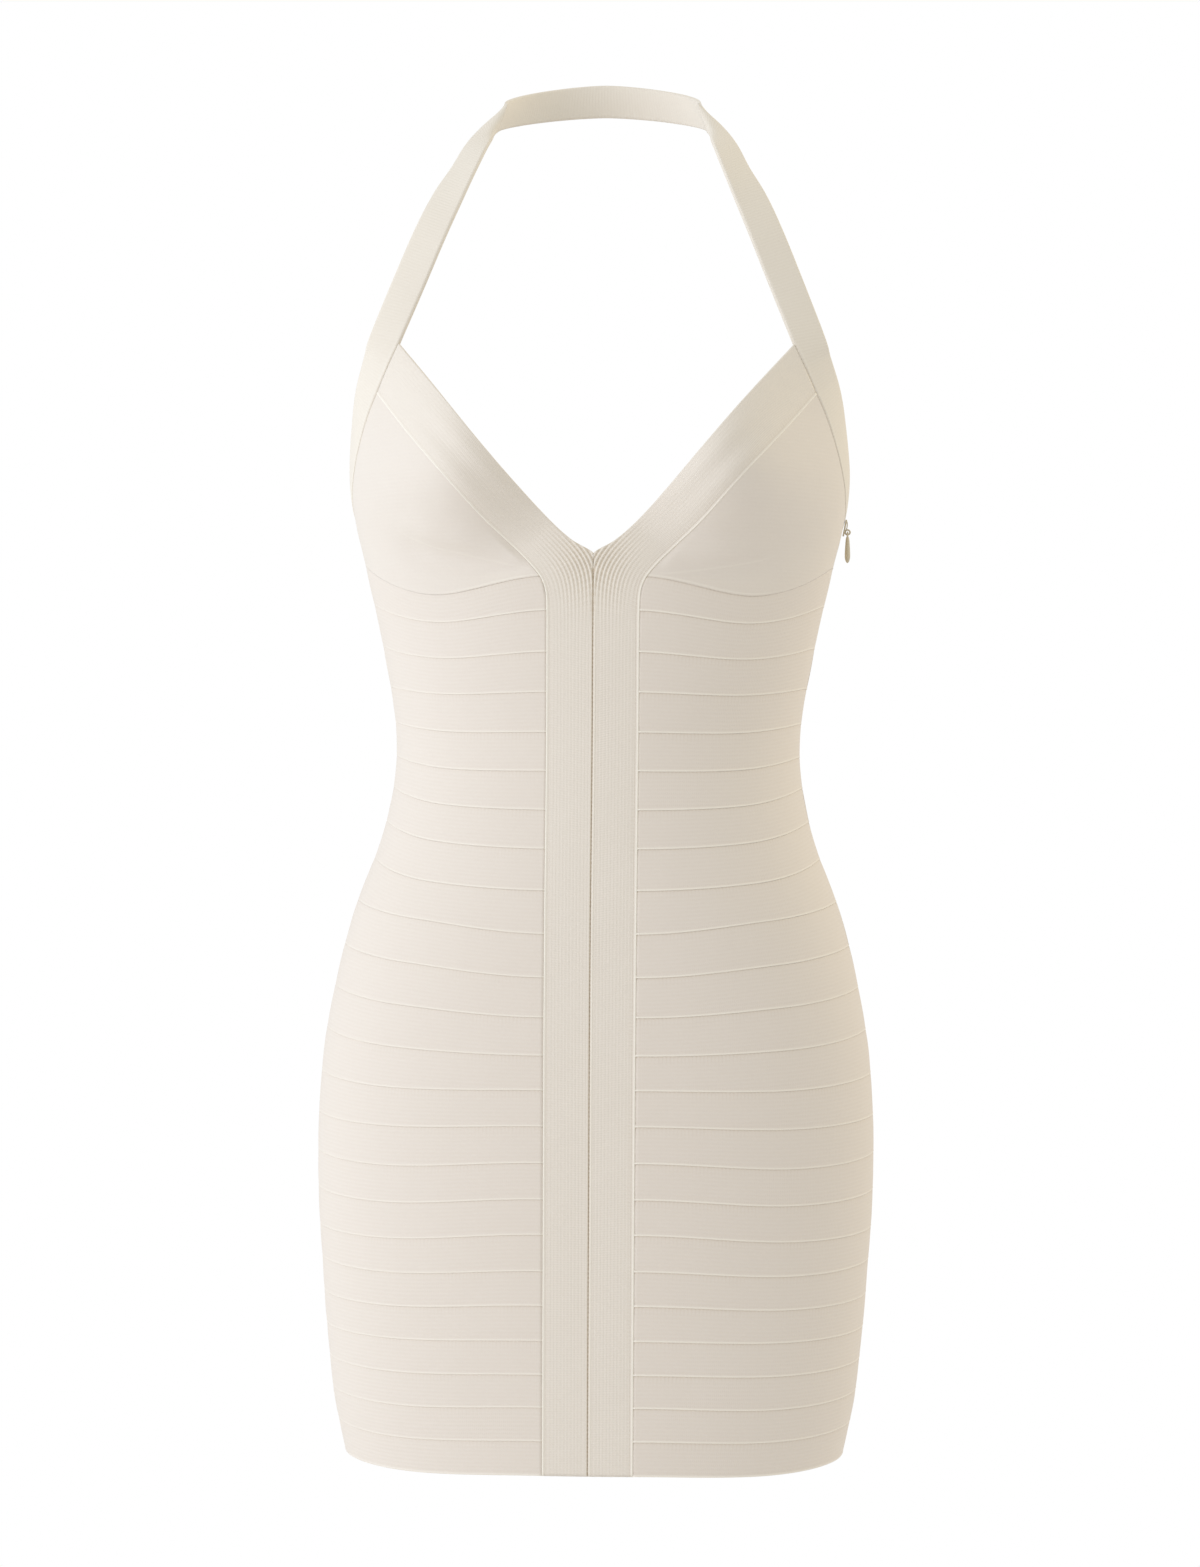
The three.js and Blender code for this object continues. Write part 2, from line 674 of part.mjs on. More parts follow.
// In the pull's own frame the hinge is at the origin along y, and the pull hangs down -z
function pullGeometry() {
  const { barHalf, holeHalf, holeBottom, eyeHalf, eyeBottom, eyeNeck, corner } = pull;
  const eye = new THREE.Shape();
  eye.moveTo(eyeHalf - corner, barHalf);
  eye.lineTo(-eyeHalf + corner, barHalf);
  eye.lineTo(-eyeHalf, barHalf - corner);
  eye.lineTo(-eyeHalf, holeBottom);
  eye.lineTo(-eyeNeck, eyeBottom);
  eye.lineTo(eyeNeck, eyeBottom);
  eye.lineTo(eyeHalf, holeBottom);
  eye.lineTo(eyeHalf, barHalf - corner);
  const hole = new THREE.Path();
  hole.moveTo(-holeHalf, -barHalf);
  hole.lineTo(holeHalf, -barHalf);
  hole.lineTo(holeHalf, holeBottom + corner);
  hole.lineTo(holeHalf - corner, holeBottom);
  hole.lineTo(-holeHalf + corner, holeBottom);
  hole.lineTo(-holeHalf, holeBottom + corner);
  eye.holes.push(hole);
  const eyePlate = extruded(eye, 2 * barHalf, eyeSegments);
  eyePlate.rotateX(Math.PI / 2).rotateZ(Math.PI / 2);
  const profile = [new THREE.Vector2(0, dropBottom)];
  for (const row of [...dropRows].reverse()) {
    profile.push(new THREE.Vector2(row.radius, row.z));
  }
  profile.push(new THREE.Vector2(0, dropRows[0].z));
  const drop = new THREE.LatheGeometry(profile, dropSegments);
  drop.rotateX(Math.PI / 2).scale(pull.flatness, 1, 1);
  return asGeometry(asSolid(eyePlate).add(asSolid(drop)));
}

function zipPieces() {
  const seat = formSpot(90, slider.height);
  const outward = seat.normal.clone().setY(0).normalize();
  const tilt = Math.atan2(outward.z, outward.x);
  const body = named("zip_slider", sliderGeometry(), enamel);
  body.position.copy(seat.point);
  body.rotation.set(0, -tilt, 0);
  const hinge = new THREE.Vector3(slider.bridgeOut, 0, -slider.bridgeDown);
  hinge.applyEuler(body.rotation).add(seat.point);
  const tab = named("zip_pull", pullGeometry(), enamel);
  tab.position.copy(hinge);
  return [body, tab];
}

// The dress
function numberName(stem, i) {
  return `${stem}_${String(i).padStart(2, "0")}`;
}

function stripPieces() {
  const pieces = [];
  for (let i = 1; i < seamRows.length; i += 1) {
    const lines = i === 1 ? cupStripLines : 1;
    const wrap = stripGrid(seamRows[i - 1], seamRows[i], 270 - sideGapAngle, lines);
    const front = stripGrid(seamRows[i - 1], seamRows[i], lastSideAngle, lines);
    pieces.push(named(numberName("right_strip", i), wallGeometry(mirrored(wrap)), knit));
    pieces.push(named(numberName("left_strip", i), wallGeometry(front), knit));
  }
  return pieces;
}

function backPieces() {
  const upper = (angle) => backTop.upper - backDip(angle, 1);
  const lower = (angle) => backTop.lower - backDip(angle, 1);
  const under = (angle) => lower(angle) - seamGap;
  const firstSeam = (angle) => seamHeight(seamRows[0], angle) + seamGap / 2;
  return [
    named("back_binding", wallGeometry(backGrid(upper, lower), { rise: bindingRise }), ribKnit),
    named("back_top_strip", wallGeometry(backGrid(under, firstSeam)), knit),
  ];
}

function frontPieces() {
  const band = bandGrid();
  const cup = cupGrid();
  const ribbed = { rise: bandRise, ribs: ribHeight, insideEvery: ribsPerBand / 2 };
  return [
    named("centre_band_left", wallGeometry(band, ribbed), ribKnit),
    named("centre_band_right", wallGeometry(mirrored(band), ribbed), ribKnit),
    named("cup_left", wallGeometry(cup), knit),
    named("cup_right", wallGeometry(mirrored(cup)), knit),
  ];
}

function halterPieces() {
  const { strap, neckBand } = halterGrids();
  const raised = { rise: bindingRise };
  return [
    named("strap_left", wallGeometry(strap, raised), ribKnit),
    named("strap_right", wallGeometry(mirrored(strap), raised), ribKnit),
    named("neck_band", wallGeometry(neckBand, raised), ribKnit),
  ];
}

const dress = new THREE.Group();
dress.add(...frontPieces(), ...stripPieces(), ...backPieces(), ...halterPieces(), ...zipPieces());
dress.position.set(0, -nape.y, -nape.z);

export default dress;
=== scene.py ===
import math
import bmesh
import bpy
import numpy as np
from mathutils import Matrix, Vector


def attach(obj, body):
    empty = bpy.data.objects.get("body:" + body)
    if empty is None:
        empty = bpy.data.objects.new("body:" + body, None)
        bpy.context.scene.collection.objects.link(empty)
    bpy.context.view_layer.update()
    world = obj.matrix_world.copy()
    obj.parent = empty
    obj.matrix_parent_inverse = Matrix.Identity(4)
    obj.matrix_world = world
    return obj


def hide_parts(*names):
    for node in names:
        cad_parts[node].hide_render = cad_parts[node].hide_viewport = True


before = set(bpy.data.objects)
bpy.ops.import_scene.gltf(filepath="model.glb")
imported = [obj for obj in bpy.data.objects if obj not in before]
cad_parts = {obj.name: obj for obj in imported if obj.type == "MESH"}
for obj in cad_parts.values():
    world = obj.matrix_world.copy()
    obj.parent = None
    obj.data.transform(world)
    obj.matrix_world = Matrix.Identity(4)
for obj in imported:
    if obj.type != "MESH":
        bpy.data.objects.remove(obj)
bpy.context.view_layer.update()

mm = 0.001
nape = {"y": 59.65, "z": 1.45}  # mm, the middle of the neck band inside, where the frame's origin is

# The form that the cloth lies on, in mm. It is measured from the plane through the side seams and from
# the top of the nape. Each list runs from the hem up to the top of the cups.
form = {
    "z": [-818, -780, -720, -640, -570, -500, -445, -395, -340, -290, -265, -240, -205, -170, -140],
    "half": [148.5, 156, 162, 166, 162, 147, 127.5, 120.5, 128.5, 139.5, 145.5, 149, 149, 150, 149],
    "front": [92, 94, 96, 98, 100, 98, 92, 87, 88, 88, 87, 85, 84, 84, 76],
    "back": [92, 98, 108, 118, 115, 102, 86, 80, 88, 98, 102, 104, 104, 102, 100],
    "square": [2.38, 2.4, 2.4, 2.4, 2.36, 2.28, 2.22, 2.2, 2.22, 2.3, 2.4, 2.5, 2.7, 2.9, 3.0],
}
bust = {"x": 80, "z": -232, "depth": 33, "inward": 70, "outward": 74, "above": 90, "below": 62}

# Seams between the strips: height beside the centre band, halfway round the front, and from the side on
seams = {
    "front": [-298, -318, -342, -365.3, -388.5, -411, -433.5, -456, -480, -505, -530, -553, -575,
              -595, -615.8, -637, -658, -678.5, -699.5, -719.5, -739.8, -759.5, -778.5, -798, -818],
    "middle": [-308.5, -324.5, -345.5, -366.5, -388.4, -410, -431, -452.5, -475.5, -497.5, -523, -547.5,
               -572, -595.5, -618, -641, -662.5, -683.5, -703.5, -723, -742, -761.5, -781, -800, -819.5],
    "side": [-289, -312, -337, -361, -382, -402, -420.5, -440.5, -462.5, -488, -514, -538.5, -563.5,
             -589.5, -614, -636.5, -658.5, -681, -700, -720.5, -740, -759, -777.5, -796.5, -816.5],
}
seamAngles = {"front": 10, "middle": 42, "side": 85}
backTop = {"upper": -241, "lower": -261.5, "dip": 37, "dipSeams": 7, "seamPower": 1.5}
cloth = {"thickness": 1.6, "gap": 0.04, "sideGapAngle": 0.02}


def curve(keys, values, at):
    keys = np.array(keys, float)
    values = np.array(values, float)
    at = np.asarray(at, float)
    places = np.arange(len(keys))
    before = np.maximum(places - 1, 0)
    after = np.minimum(places + 1, len(keys) - 1)
    slopes = (values[after] - values[before]) / (keys[after] - keys[before])
    i = np.clip(np.searchsorted(keys, at, side="left") - 1, 0, len(keys) - 2)
    span = keys[i + 1] - keys[i]
    t = np.clip((at - keys[i]) / span, 0, 1)
    ends = (2 * t**3 - 3 * t**2 + 1) * values[i] + (3 * t**2 - 2 * t**3) * values[i + 1]
    return ends + ((t**3 - 2 * t**2 + t) * slopes[i] + (t**3 - t**2) * slopes[i + 1]) * span


def numberedCurve(values, place):
    return curve(np.arange(len(values)), values, place)


def mix(a, b, t):
    return a + (b - a) * t


def smooth(low, high, value):
    t = np.clip((value - low) / (high - low), 0, 1)
    return t * t * (3 - 2 * t)


def bump(value, centre, halfWidth):
    t = np.clip(1 - np.abs(value - centre) / halfWidth, 0, 1)
    return t * t * (3 - 2 * t)


def joined(*parts):
    return np.stack(parts, axis=-1)


def line(away, halfWidth):
    return np.exp(-(away / halfWidth) ** 2)


def distance(points, others):
    return np.linalg.norm(points - others, axis=-1)


def bustDepth(x, z):
    across = np.abs(x) - bust["x"]
    up = z - bust["z"]
    acrossReach = np.where(across > 0, bust["outward"], bust["inward"])
    upReach = np.where(up > 0, bust["above"], bust["below"])
    distance = np.minimum(np.hypot(across / acrossReach, up / upReach), 1)
    return bust["depth"] * np.cos(np.pi * distance / 2) ** 2


# Angles are in degrees from the centre front, positive towards the wearer's left
def formPoint(angle, z):
    half, front, back, square = (curve(form["z"], form[k], z) for k in ("half", "front", "back", "square"))
    across = np.sin(np.radians(angle))
    ahead = np.cos(np.radians(angle))
    reach = (np.abs(across) ** square + np.abs(ahead) ** square) ** (-1 / square)
    x = half * across * reach
    frontY = -front * ahead * reach - bustDepth(x, z)
    backY = -back * ahead * reach
    return joined(x, np.where(ahead > 0, frontY, backY), z + 0 * x)


def unit(vectors):
    return vectors / np.maximum(np.linalg.norm(vectors, axis=-1, keepdims=True), 1e-9)


def formNormal(angle, z):
    around = formPoint(angle + 0.5, z) - formPoint(angle - 0.5, z)
    up = formPoint(angle, z + 1) - formPoint(angle, z - 1)
    return unit(np.cross(around, up))


def onForm(angle, z):
    return formPoint(angle, z), formNormal(angle, z)


def angleOf(x, z):
    half = curve(form["z"], form["half"], z)
    square = curve(form["z"], form["square"], z)
    share = np.minimum(np.abs(x) / half, 0.9999) ** square
    return np.sign(x) * np.degrees(np.arctan((share / (1 - share)) ** (1 / square)))


def arcLength(points):
    steps = np.linalg.norm(np.diff(points, axis=0), axis=-1)
    return np.concatenate([[0], np.cumsum(steps)])


def backDip(angle, power):
    return backTop["dip"] * np.abs(np.sin(np.radians(np.maximum(np.abs(angle) - 90, 0)))) ** power


def seamHeight(i, angle):
    front, middle, side = (seams[k][i] for k in ("front", "middle", "side"))
    turned = np.abs(angle)
    low, centre, high = seamAngles["front"], seamAngles["middle"], seamAngles["side"]
    first = turned < centre
    span = np.where(first, centre - low, high - centre)
    t = np.clip(np.where(first, turned - low, turned - centre) / span, 0, 1)
    start = np.where(first, front, middle)
    end = np.where(first, middle, side)
    slope = (side - front) / (high - low) * span
    slopeShare = np.where(first, t**3 - t**2, t**3 - 2 * t**2 + t)
    height = mix(start, end, t * t * (3 - 2 * t)) + slopeShare * slope
    share = max(0, 1 - i / backTop["dipSeams"])
    return np.where(turned > 90, side - share * backDip(angle, backTop["seamPower"]), height)


# Low, wide unevenness of knitted cloth under tension, in mm either way
unevenness = {"wide": 0.16, "narrow": 0.05}


def uneven(points):
    x, y, z = (points[..., i] for i in range(3))
    wide = np.sin(x / 17 + 1.3 * np.sin(z / 23)) * np.sin(z / 13 + 0.7 * np.sin(y / 19))
    narrow = np.sin(x / 4.7 + 2 * np.sin(z / 7.1)) * np.sin(y / 5.3 + z / 6.1)
    return unevenness["wide"] * wide + unevenness["narrow"] * narrow


# Shells: an outer face raised by a height at each point, and a plainer inner face one cloth thickness in
def ringCap(outer, inner, turned):
    faces = []
    a, b = 0, 0
    while a < len(outer) - 1 or b < len(inner) - 1:
        nextOuter = (a + 1) / (len(outer) - 1)
        nextInner = (b + 1) / (len(inner) - 1)
        stepOuter = a < len(outer) - 1 and (nextOuter <= nextInner or b == len(inner) - 1)
        face = [outer[a + 1], outer[a], inner[b]] if stepOuter else [outer[a], inner[b], inner[b + 1]]
        faces.append(face[::-1] if turned else face)
        a += stepOuter
        b += not stepOuter
    return faces


def quads(a, b, c, d):
    return np.stack([a.ravel(), b.ravel(), c.ravel(), d.ravel()], axis=1)


def shellMesh(name, spots, height, layout, marks, inside=4, insideRibs=None, thickness=cloth["thickness"]):
    points, normals = spots
    rows, columns = points.shape[:2]
    inner = points[:, ::inside] - normals[:, ::inside] * thickness
    if insideRibs is not None:
        inner = inner - normals[:, ::inside] * insideRibs[:, ::inside, None]
    outer = points + normals * height[..., None]
    innerColumns = inner.shape[1]
    o = np.arange(rows * columns).reshape(rows, columns)
    n = rows * columns + np.arange(rows * innerColumns).reshape(rows, innerColumns)
    faces = np.concatenate([
        quads(o[:-1, :-1], o[:-1, 1:], o[1:, 1:], o[1:, :-1]),
        quads(n[:-1, :-1], n[1:, :-1], n[1:, 1:], n[:-1, 1:]),
        quads(o[:-1, 0], o[1:, 0], n[1:, 0], n[:-1, 0]),
        quads(o[1:, -1], o[:-1, -1], n[:-1, -1], n[1:, -1]),
    ])
    caps = np.array(ringCap(list(o[0]), list(n[0]), False) + ringCap(list(o[-1]), list(n[-1]), True))
    place = np.concatenate([outer.reshape(-1, 3), inner.reshape(-1, 3)])
    place = (place - [0, nape["y"], nape["z"]]) * mm
    corners = place[faces]
    flux = np.einsum("ij,ij->i", corners[:, 0] - place.mean(axis=0),
                     np.cross(corners[:, 1] - corners[:, 0], corners[:, 2] - corners[:, 0]))
    if flux.sum() < 0:
        faces, caps = faces[:, ::-1], caps[:, ::-1]
    mesh = bpy.data.meshes.new(name)
    mesh.vertices.add(len(place))
    mesh.vertices.foreach_set("co", place.ravel())
    corner = np.concatenate([faces.ravel(), caps.ravel()])
    mesh.loops.add(len(corner))
    mesh.loops.foreach_set("vertex_index", corner)
    starts = np.concatenate([np.arange(len(faces)) * 4, len(faces) * 4 + np.arange(len(caps)) * 3])
    mesh.polygons.add(len(starts))
    mesh.polygons.foreach_set("loop_start", starts)
    # The walls round the edge stay flat, so they leave no dark rim
    curved = (rows - 1) * (columns + innerColumns - 2)
    mesh.polygons.foreach_set("use_smooth", np.arange(len(starts)) < curved)
    mesh.update(calc_edges=True)
    both = np.concatenate([layout.reshape(-1, 2), layout[:, ::inside].reshape(-1, 2)])
    mesh.uv_layers.new(name="knitMap").data.foreach_set("uv", both[corner].ravel())
    for key, values in marks.items():
        full = np.concatenate([values.ravel(), 0 * values[:, ::inside].ravel()])
        mesh.attributes.new(key, "FLOAT", "POINT").data.foreach_set("value", full)
    mesh.validate()
    return mesh


def addObject(name, data):
    thing = bpy.data.objects.new(name, data)
    bpy.context.scene.collection.objects.link(thing)
    return thing


def addPiece(name, mesh, body, material, slot, *nodes):
    piece = addObject(name, mesh)
    piece.data.materials.append(material)
    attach(piece, body)
    if nodes:
        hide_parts(*nodes)
    return piece


def flip(spots):
    points, normals = spots
    return points * [-1, 1, 1], normals * [-1, 1, 1]


def onSide(spots, side):
    return spots if side == "left" else flip(spots)


# Works out how large the cloth was cut: its longest and widest measure over the form, and its area; the
# results are not passed on
knitEase = 0.97  # the knit is cut a little smaller than the form that it is stretched over


def declareCut(spots):
    points = spots[0] * mm
    length = np.linalg.norm(np.diff(points, axis=0), axis=-1).sum(axis=0).max()
    width = np.linalg.norm(np.diff(points, axis=1), axis=-1).sum(axis=1).max()
    across = points[1:, 1:] - points[:-1, :-1]
    other = points[1:, :-1] - points[:-1, 1:]
    area = np.linalg.norm(np.cross(across, other), axis=-1).sum() / 2
    width, length = float(width * knitEase), float(length * knitEase)
    area = min(float(area * knitEase**2), width * length)


# Builds a piece of knit in the place of its node. Its relief is a height, a layout and the marks.
def addCloth(node, spots, relief, kind, inside=4, insideRibs=None):
    material, slot, ending = knits[kind]
    height, layout, marks = relief
    mesh = shellMesh(node + ending, spots, height, layout, marks, inside, insideRibs)
    piece = addPiece(node + ending, mesh, "dress", material, slot, node)
    declareCut(spots)


# Node helpers
def newMaterial(name):
    material = bpy.data.materials.new(name)
    material.use_nodes = True
    tree = material.node_tree
    return material, tree, tree.nodes["Principled BSDF"]


def setInputs(node, values):
    for key, value in values.items():
        node.inputs[key].default_value = value


def joinInput(tree, socket, value):
    if isinstance(value, bpy.types.NodeSocket):
        tree.links.new(value, socket)
    else:
        socket.default_value = value


def math2(tree, operation, a, b=0.0, c=0.0):
    node = tree.nodes.new("ShaderNodeMath")
    node.operation = operation
    for socket, value in zip(node.inputs, (a, b, c)):
        joinInput(tree, socket, value)
    return node.outputs[0]


def times(tree, a, b):
    return math2(tree, "MULTIPLY", a, b)


def timesPlus(tree, a, b, c):
    return math2(tree, "MULTIPLY_ADD", a, b, c)


def mixColor(tree, share, a, b):
    node = tree.nodes.new("ShaderNodeMix")
    node.data_type = "RGBA"
    joinInput(tree, node.inputs[0], share)
    joinInput(tree, node.inputs[6], a)
    joinInput(tree, node.inputs[7], b)
    return node.outputs[2]


def noise(tree, vector, scale, detail):
    node = tree.nodes.new("ShaderNodeTexNoise")
    joinInput(tree, node.inputs["Vector"], vector)
    setInputs(node, {"Scale": scale, "Detail": detail})
    return node.outputs["Fac"]


def markOf(tree, name):
    node = tree.nodes.new("ShaderNodeAttribute")
    node.attribute_name = name
    return node.outputs["Fac"]


# Knitted cloth. The map is in mm: along the piece and across it. Courses run along the piece, or across
# it where it is turned, and each stitch is a small chevron.
knitLooks = {
    "plain": {"colour": (0.80, 0.735, 0.655, 1), "course": 2.3, "wale": 1.15, "depth": 0.07, "lines": 0.11,
              "fuzz": 0.55, "turned": False},
    "cup": {"colour": (0.795, 0.735, 0.655, 1), "course": 2.3, "wale": 1.15, "depth": 0.045, "lines": 0.04,
            "fuzz": 0.55, "turned": False},
    "rib": {"colour": (0.825, 0.768, 0.68, 1), "course": 1.0, "wale": 0.95, "depth": 0.10, "lines": 0.12,
            "fuzz": 0.5, "turned": True},
    "binding": {"colour": (0.825, 0.772, 0.675, 1), "course": 1.9, "wale": 1.4, "depth": 0.05, "lines": 0.10,
                "fuzz": 0.25, "turned": True},
}
# The seam colour is tan, for the seam lines and for painted shade in the grooves and channels beside them.
# The welt colour is pale cream: a painted highlight on raised welts and ridges, and also the tone of the
# random pale heather flecks. The deep colour is a darker knit tone.
knitShade = {
    "seam": (0.55, 0.45, 0.31, 1), "weltHighlight": (0.93, 0.885, 0.78, 1), "deep": (0.70, 0.61, 0.50, 1),
    "ladderPitch": 2.5, "ladderShare": 0.45, "rungPitch": 2.2, "rungHeight": 0.3, "rungShare": 0.4,
    "cloudShare": 0.10, "heatherShare": 0.16, "chevronLean": 0.14, "relief": 0.55,
    "roughness": 0.86, "roughSpread": 0.12,
}
knitSockets = {"Sheen Weight": 0.22, "Sheen Roughness": 0.45, "Specular IOR Level": 0.22}
knitNoise = {"fuzz": (1900.0, 3.0), "cloud": (16.0, 3.0), "heather": (620.0, 2.0), "patch": (34.0, 2.0)}
patches = {"gain": 3.0, "start": -0.9, "least": 0.15}  # the rungs show more in some places than in others


def wave(tree, along, pitch):
    return math2(tree, "SINE", times(tree, along, 2 * math.pi / pitch))


def stitchPattern(tree, along, across, look):
    walePlace = math2(tree, "FRACT", math2(tree, "DIVIDE", along, look["wale"]))
    chevron = math2(tree, "ABSOLUTE", timesPlus(tree, walePlace, 2.0, -1.0))
    straight = math2(tree, "DIVIDE", across, look["course"])
    stitch = wave(tree, timesPlus(tree, chevron, knitShade["chevronLean"], straight), 1)
    wale = times(tree, chevron, chevron)
    return stitch, timesPlus(tree, stitch, 0.5, times(tree, wale, -0.5))


def rungPattern(tree, along, patch):
    rungs = times(tree, markOf(tree, "rungs"), wave(tree, along, knitShade["rungPitch"]))
    patchy = timesPlus(tree, patch, patches["gain"], patches["start"])
    shown = math2(tree, "MINIMUM", math2(tree, "MAXIMUM", patchy, patches["least"]), 1.0)
    return times(tree, rungs, shown)


def knitColor(tree, look, along, stitch, rungs, cloud, heather):
    rungShade = times(tree, rungs, 0.5 * knitShade["rungShare"])
    half = knitShade["ladderShare"] / 2  # the seams' stitches show as small rungs along them
    ladder = timesPlus(tree, wave(tree, along, knitShade["ladderPitch"]), half, 1 - half)
    layers = (
        (times(tree, cloud, knitShade["cloudShare"]), "deep"),
        # Random pale heather flecks, in the same pale colour as the painted highlight
        (times(tree, heather, knitShade["heatherShare"]), "weltHighlight"),
        (timesPlus(tree, stitch, -0.5 * look["lines"], 0.5 * look["lines"]), "deep"),
        (math2(tree, "MAXIMUM", rungShade, 0.0), "deep"),
        # Painted highlight: lighter along raised welts, ridges and rib crests
        (markOf(tree, "weltHighlight"), "weltHighlight"),
        # Seam lines and painted shade in the grooves beside them, broken into small stitch rungs
        (times(tree, markOf(tree, "seam"), ladder), "seam"),
    )
    color = look["colour"]
    for share, shade in layers:
        color = mixColor(tree, share, color, knitShade[shade])
    return color


def knitMaterial(name, look):
    material, tree, shader = newMaterial(name)
    layout = tree.nodes.new("ShaderNodeUVMap")
    layout.uv_map = "knitMap"
    split = tree.nodes.new("ShaderNodeSeparateXYZ")
    tree.links.new(layout.outputs["UV"], split.inputs[0])
    along, across = split.outputs[0], split.outputs[1]
    ways = (across, along) if look["turned"] else (along, across)
    stitch, stitchHeight = stitchPattern(tree, *ways, look)
    here = tree.nodes.new("ShaderNodeTexCoord").outputs["Object"]
    fuzz, cloud, heather, patch = (noise(tree, here, *scales) for scales in knitNoise.values())
    rungs = rungPattern(tree, along, patch)
    height = timesPlus(tree, fuzz, look["fuzz"], stitchHeight)
    height = timesPlus(tree, rungs, knitShade["rungHeight"], height)
    relief = tree.nodes.new("ShaderNodeBump")
    setInputs(relief, {"Strength": knitShade["relief"], "Distance": look["depth"] * mm})
    tree.links.new(height, relief.inputs["Height"])
    tree.links.new(relief.outputs[0], shader.inputs["Normal"])
    tree.links.new(knitColor(tree, look, along, stitch, rungs, cloud, heather), shader.inputs["Base Color"])
    spread = knitShade["roughSpread"]
    rough = timesPlus(tree, heather, spread, knitShade["roughness"] - spread / 2)
    tree.links.new(rough, shader.inputs["Roughness"])
    setInputs(shader, knitSockets)
    return material


# Each kind of knit: its material, and the slot and the name's ending of the pieces made of it
knits = {
    "plain": (knitMaterial("cream_bandage_knit", knitLooks["plain"]), "knit", "_knit"),
    "rib": (knitMaterial("cream_rib_knit", knitLooks["rib"]), "rib_knit", "_rib"),
    "binding": (knitMaterial("cream_binding_knit", knitLooks["binding"]), "rib_knit", "_rib"),
    "cup": (knitMaterial("cream_cup_knit", knitLooks["cup"]), "knit", "_knit"),
}


# In the dictionaries below, a pair for a line on the cloth is its distance from an edge and its half width,
# and a pair for a blend is where it starts and where it ends.

# The centre front band: its outer seam and its inner edge, from the strap down round the V point
band = {
    "seamX": [128.6, 108.5, 86.5, 65.5, 46, 36, 29.8, 27.2, 26.6],
    "seamZ": [-190, -215, -240, -263, -281.5, -291.5, -299.5, -308, -322],
    "edgeX": [115.5, 93, 70.5, 47, 25.5, 12.5, 0.15, 0.15, 0.15],
    "edgeZ": [-161.5, -188, -215, -242.3, -265.5, -277, -284.6, -292, -318],
    "bendEnd": -322, "waistWidth": 26.6, "hemWidth": 25.9, "hem": -818,
    "armRows": 250, "straightRows": 230, "columns": 104, "overlap": 0.3,
}
# In the band's marks, the entries named Shade are painted shade and those named Light are painted highlight
bandRibs = {
    "pitch": 2.0, "rise": 0.1, "restHeight": 0.03, "rest": (1.6, 2.6),
    "pointPitch": 2.15, "pointHeight": 0.34, "pointShade": 0.62, "pointLight": 0.5,
    "pointX": 3, "pointZ": -288, "reachX": 19, "reachZ": 24, "edgeTurn": (12.5, -277, 43), "rounding": 5,
    "weltHighlight": (0.5, 1.0), "weltHeight": 0.3, "innerLine": (2.0, 0.35), "innerLineDepth": 0.1,
    "fold": (14, 9), "foldDepth": 1.2, "foldHeights": (-232, 42),
    "edgeRadius": 0.7, "edgeReach": 0.8, "seamDrop": 0.03, "seamDropReach": 0.5,
    "sewn": (-288, -300), "centreLineHalf": 0.55, "centreShade": 0.75,
    "ridge": (1.2, 0.75), "ridgeHeight": 0.26, "ridgeLight": 0.7, "rungs": (3.2, 2.6),
    "searchReach": 60, "searchStep": 2,
}
bandSides = {  # how strongly the marks show on each side: the centre ridge with its painted highlight, the painted shade in the inner channel, and the stitch rungs
    "left": {"ridge": 1.0, "innerShade": 0.3, "rungs": 1.0},
    "right": {"ridge": 0.15, "innerShade": 0.12, "rungs": 0.5},
}
bendPlace = len(band["seamX"]) - 1
bendPlaces = np.linspace(0, bendPlace, 2001)
bendHeights = numberedCurve(band["seamZ"], bendPlaces)


def placeOfHeight(z):
    return np.interp(-z, -bendHeights, bendPlaces)


def bandSeamX(z):
    width = mix(band["waistWidth"], band["hemWidth"], (band["bendEnd"] - z) / (band["bendEnd"] - band["hem"]))
    return np.where(z <= band["bendEnd"], width, numberedCurve(band["seamX"], placeOfHeight(z)))


def bandRows():
    places = np.linspace(0, bendPlace, band["armRows"])
    arm = [numberedCurve(band[k], places) for k in ("seamX", "seamZ", "edgeX", "edgeZ")]
    share = np.arange(1, band["straightRows"] + 1) / band["straightRows"]
    seamZ = mix(band["bendEnd"], band["hem"], share)
    edgeZ = mix(band["edgeZ"][-1], band["hem"], share)
    straight = [bandSeamX(seamZ), seamZ, np.full_like(seamZ, cloth["gap"] / 2), edgeZ]
    return [np.concatenate([a, s]) for a, s in zip(arm, straight)]


def bandSpots():
    seamX, seamZ, edgeX, edgeZ = (column[:, None] for column in bandRows())
    width = np.hypot(seamX - edgeX, seamZ - edgeZ)
    start = -band["overlap"] / width
    share = start + (1 - start) * np.linspace(0, 1, band["columns"] + 1)[None, :]
    x = np.maximum(mix(seamX, edgeX, share), cloth["gap"] / 2)
    z = mix(seamZ, edgeZ, share)
    angle = angleOf(x, z)
    return onForm(angle, z)


# Distance of each point from the band's outer seam, measured to the nearest stretch of it
def seamDistance(points, seam):
    rows = len(seam)
    step = bandRibs["searchStep"]
    best = np.full(points.shape[:2], 1e9)
    for shift in range(-bandRibs["searchReach"], bandRibs["searchReach"] + 1, step):
        i = np.clip(np.arange(rows) + shift, 0, rows - 1 - step)
        start, end = seam[i], seam[i + step]
        run = end - start
        t = np.einsum("rci,ri->rc", points - start[:, None], run) / np.einsum("ri,ri->r", run, run)[:, None]
        foot = start[:, None] + np.clip(t, 0, 1)[..., None] * run[:, None]
        best = np.minimum(best, distance(points, foot))
    return best


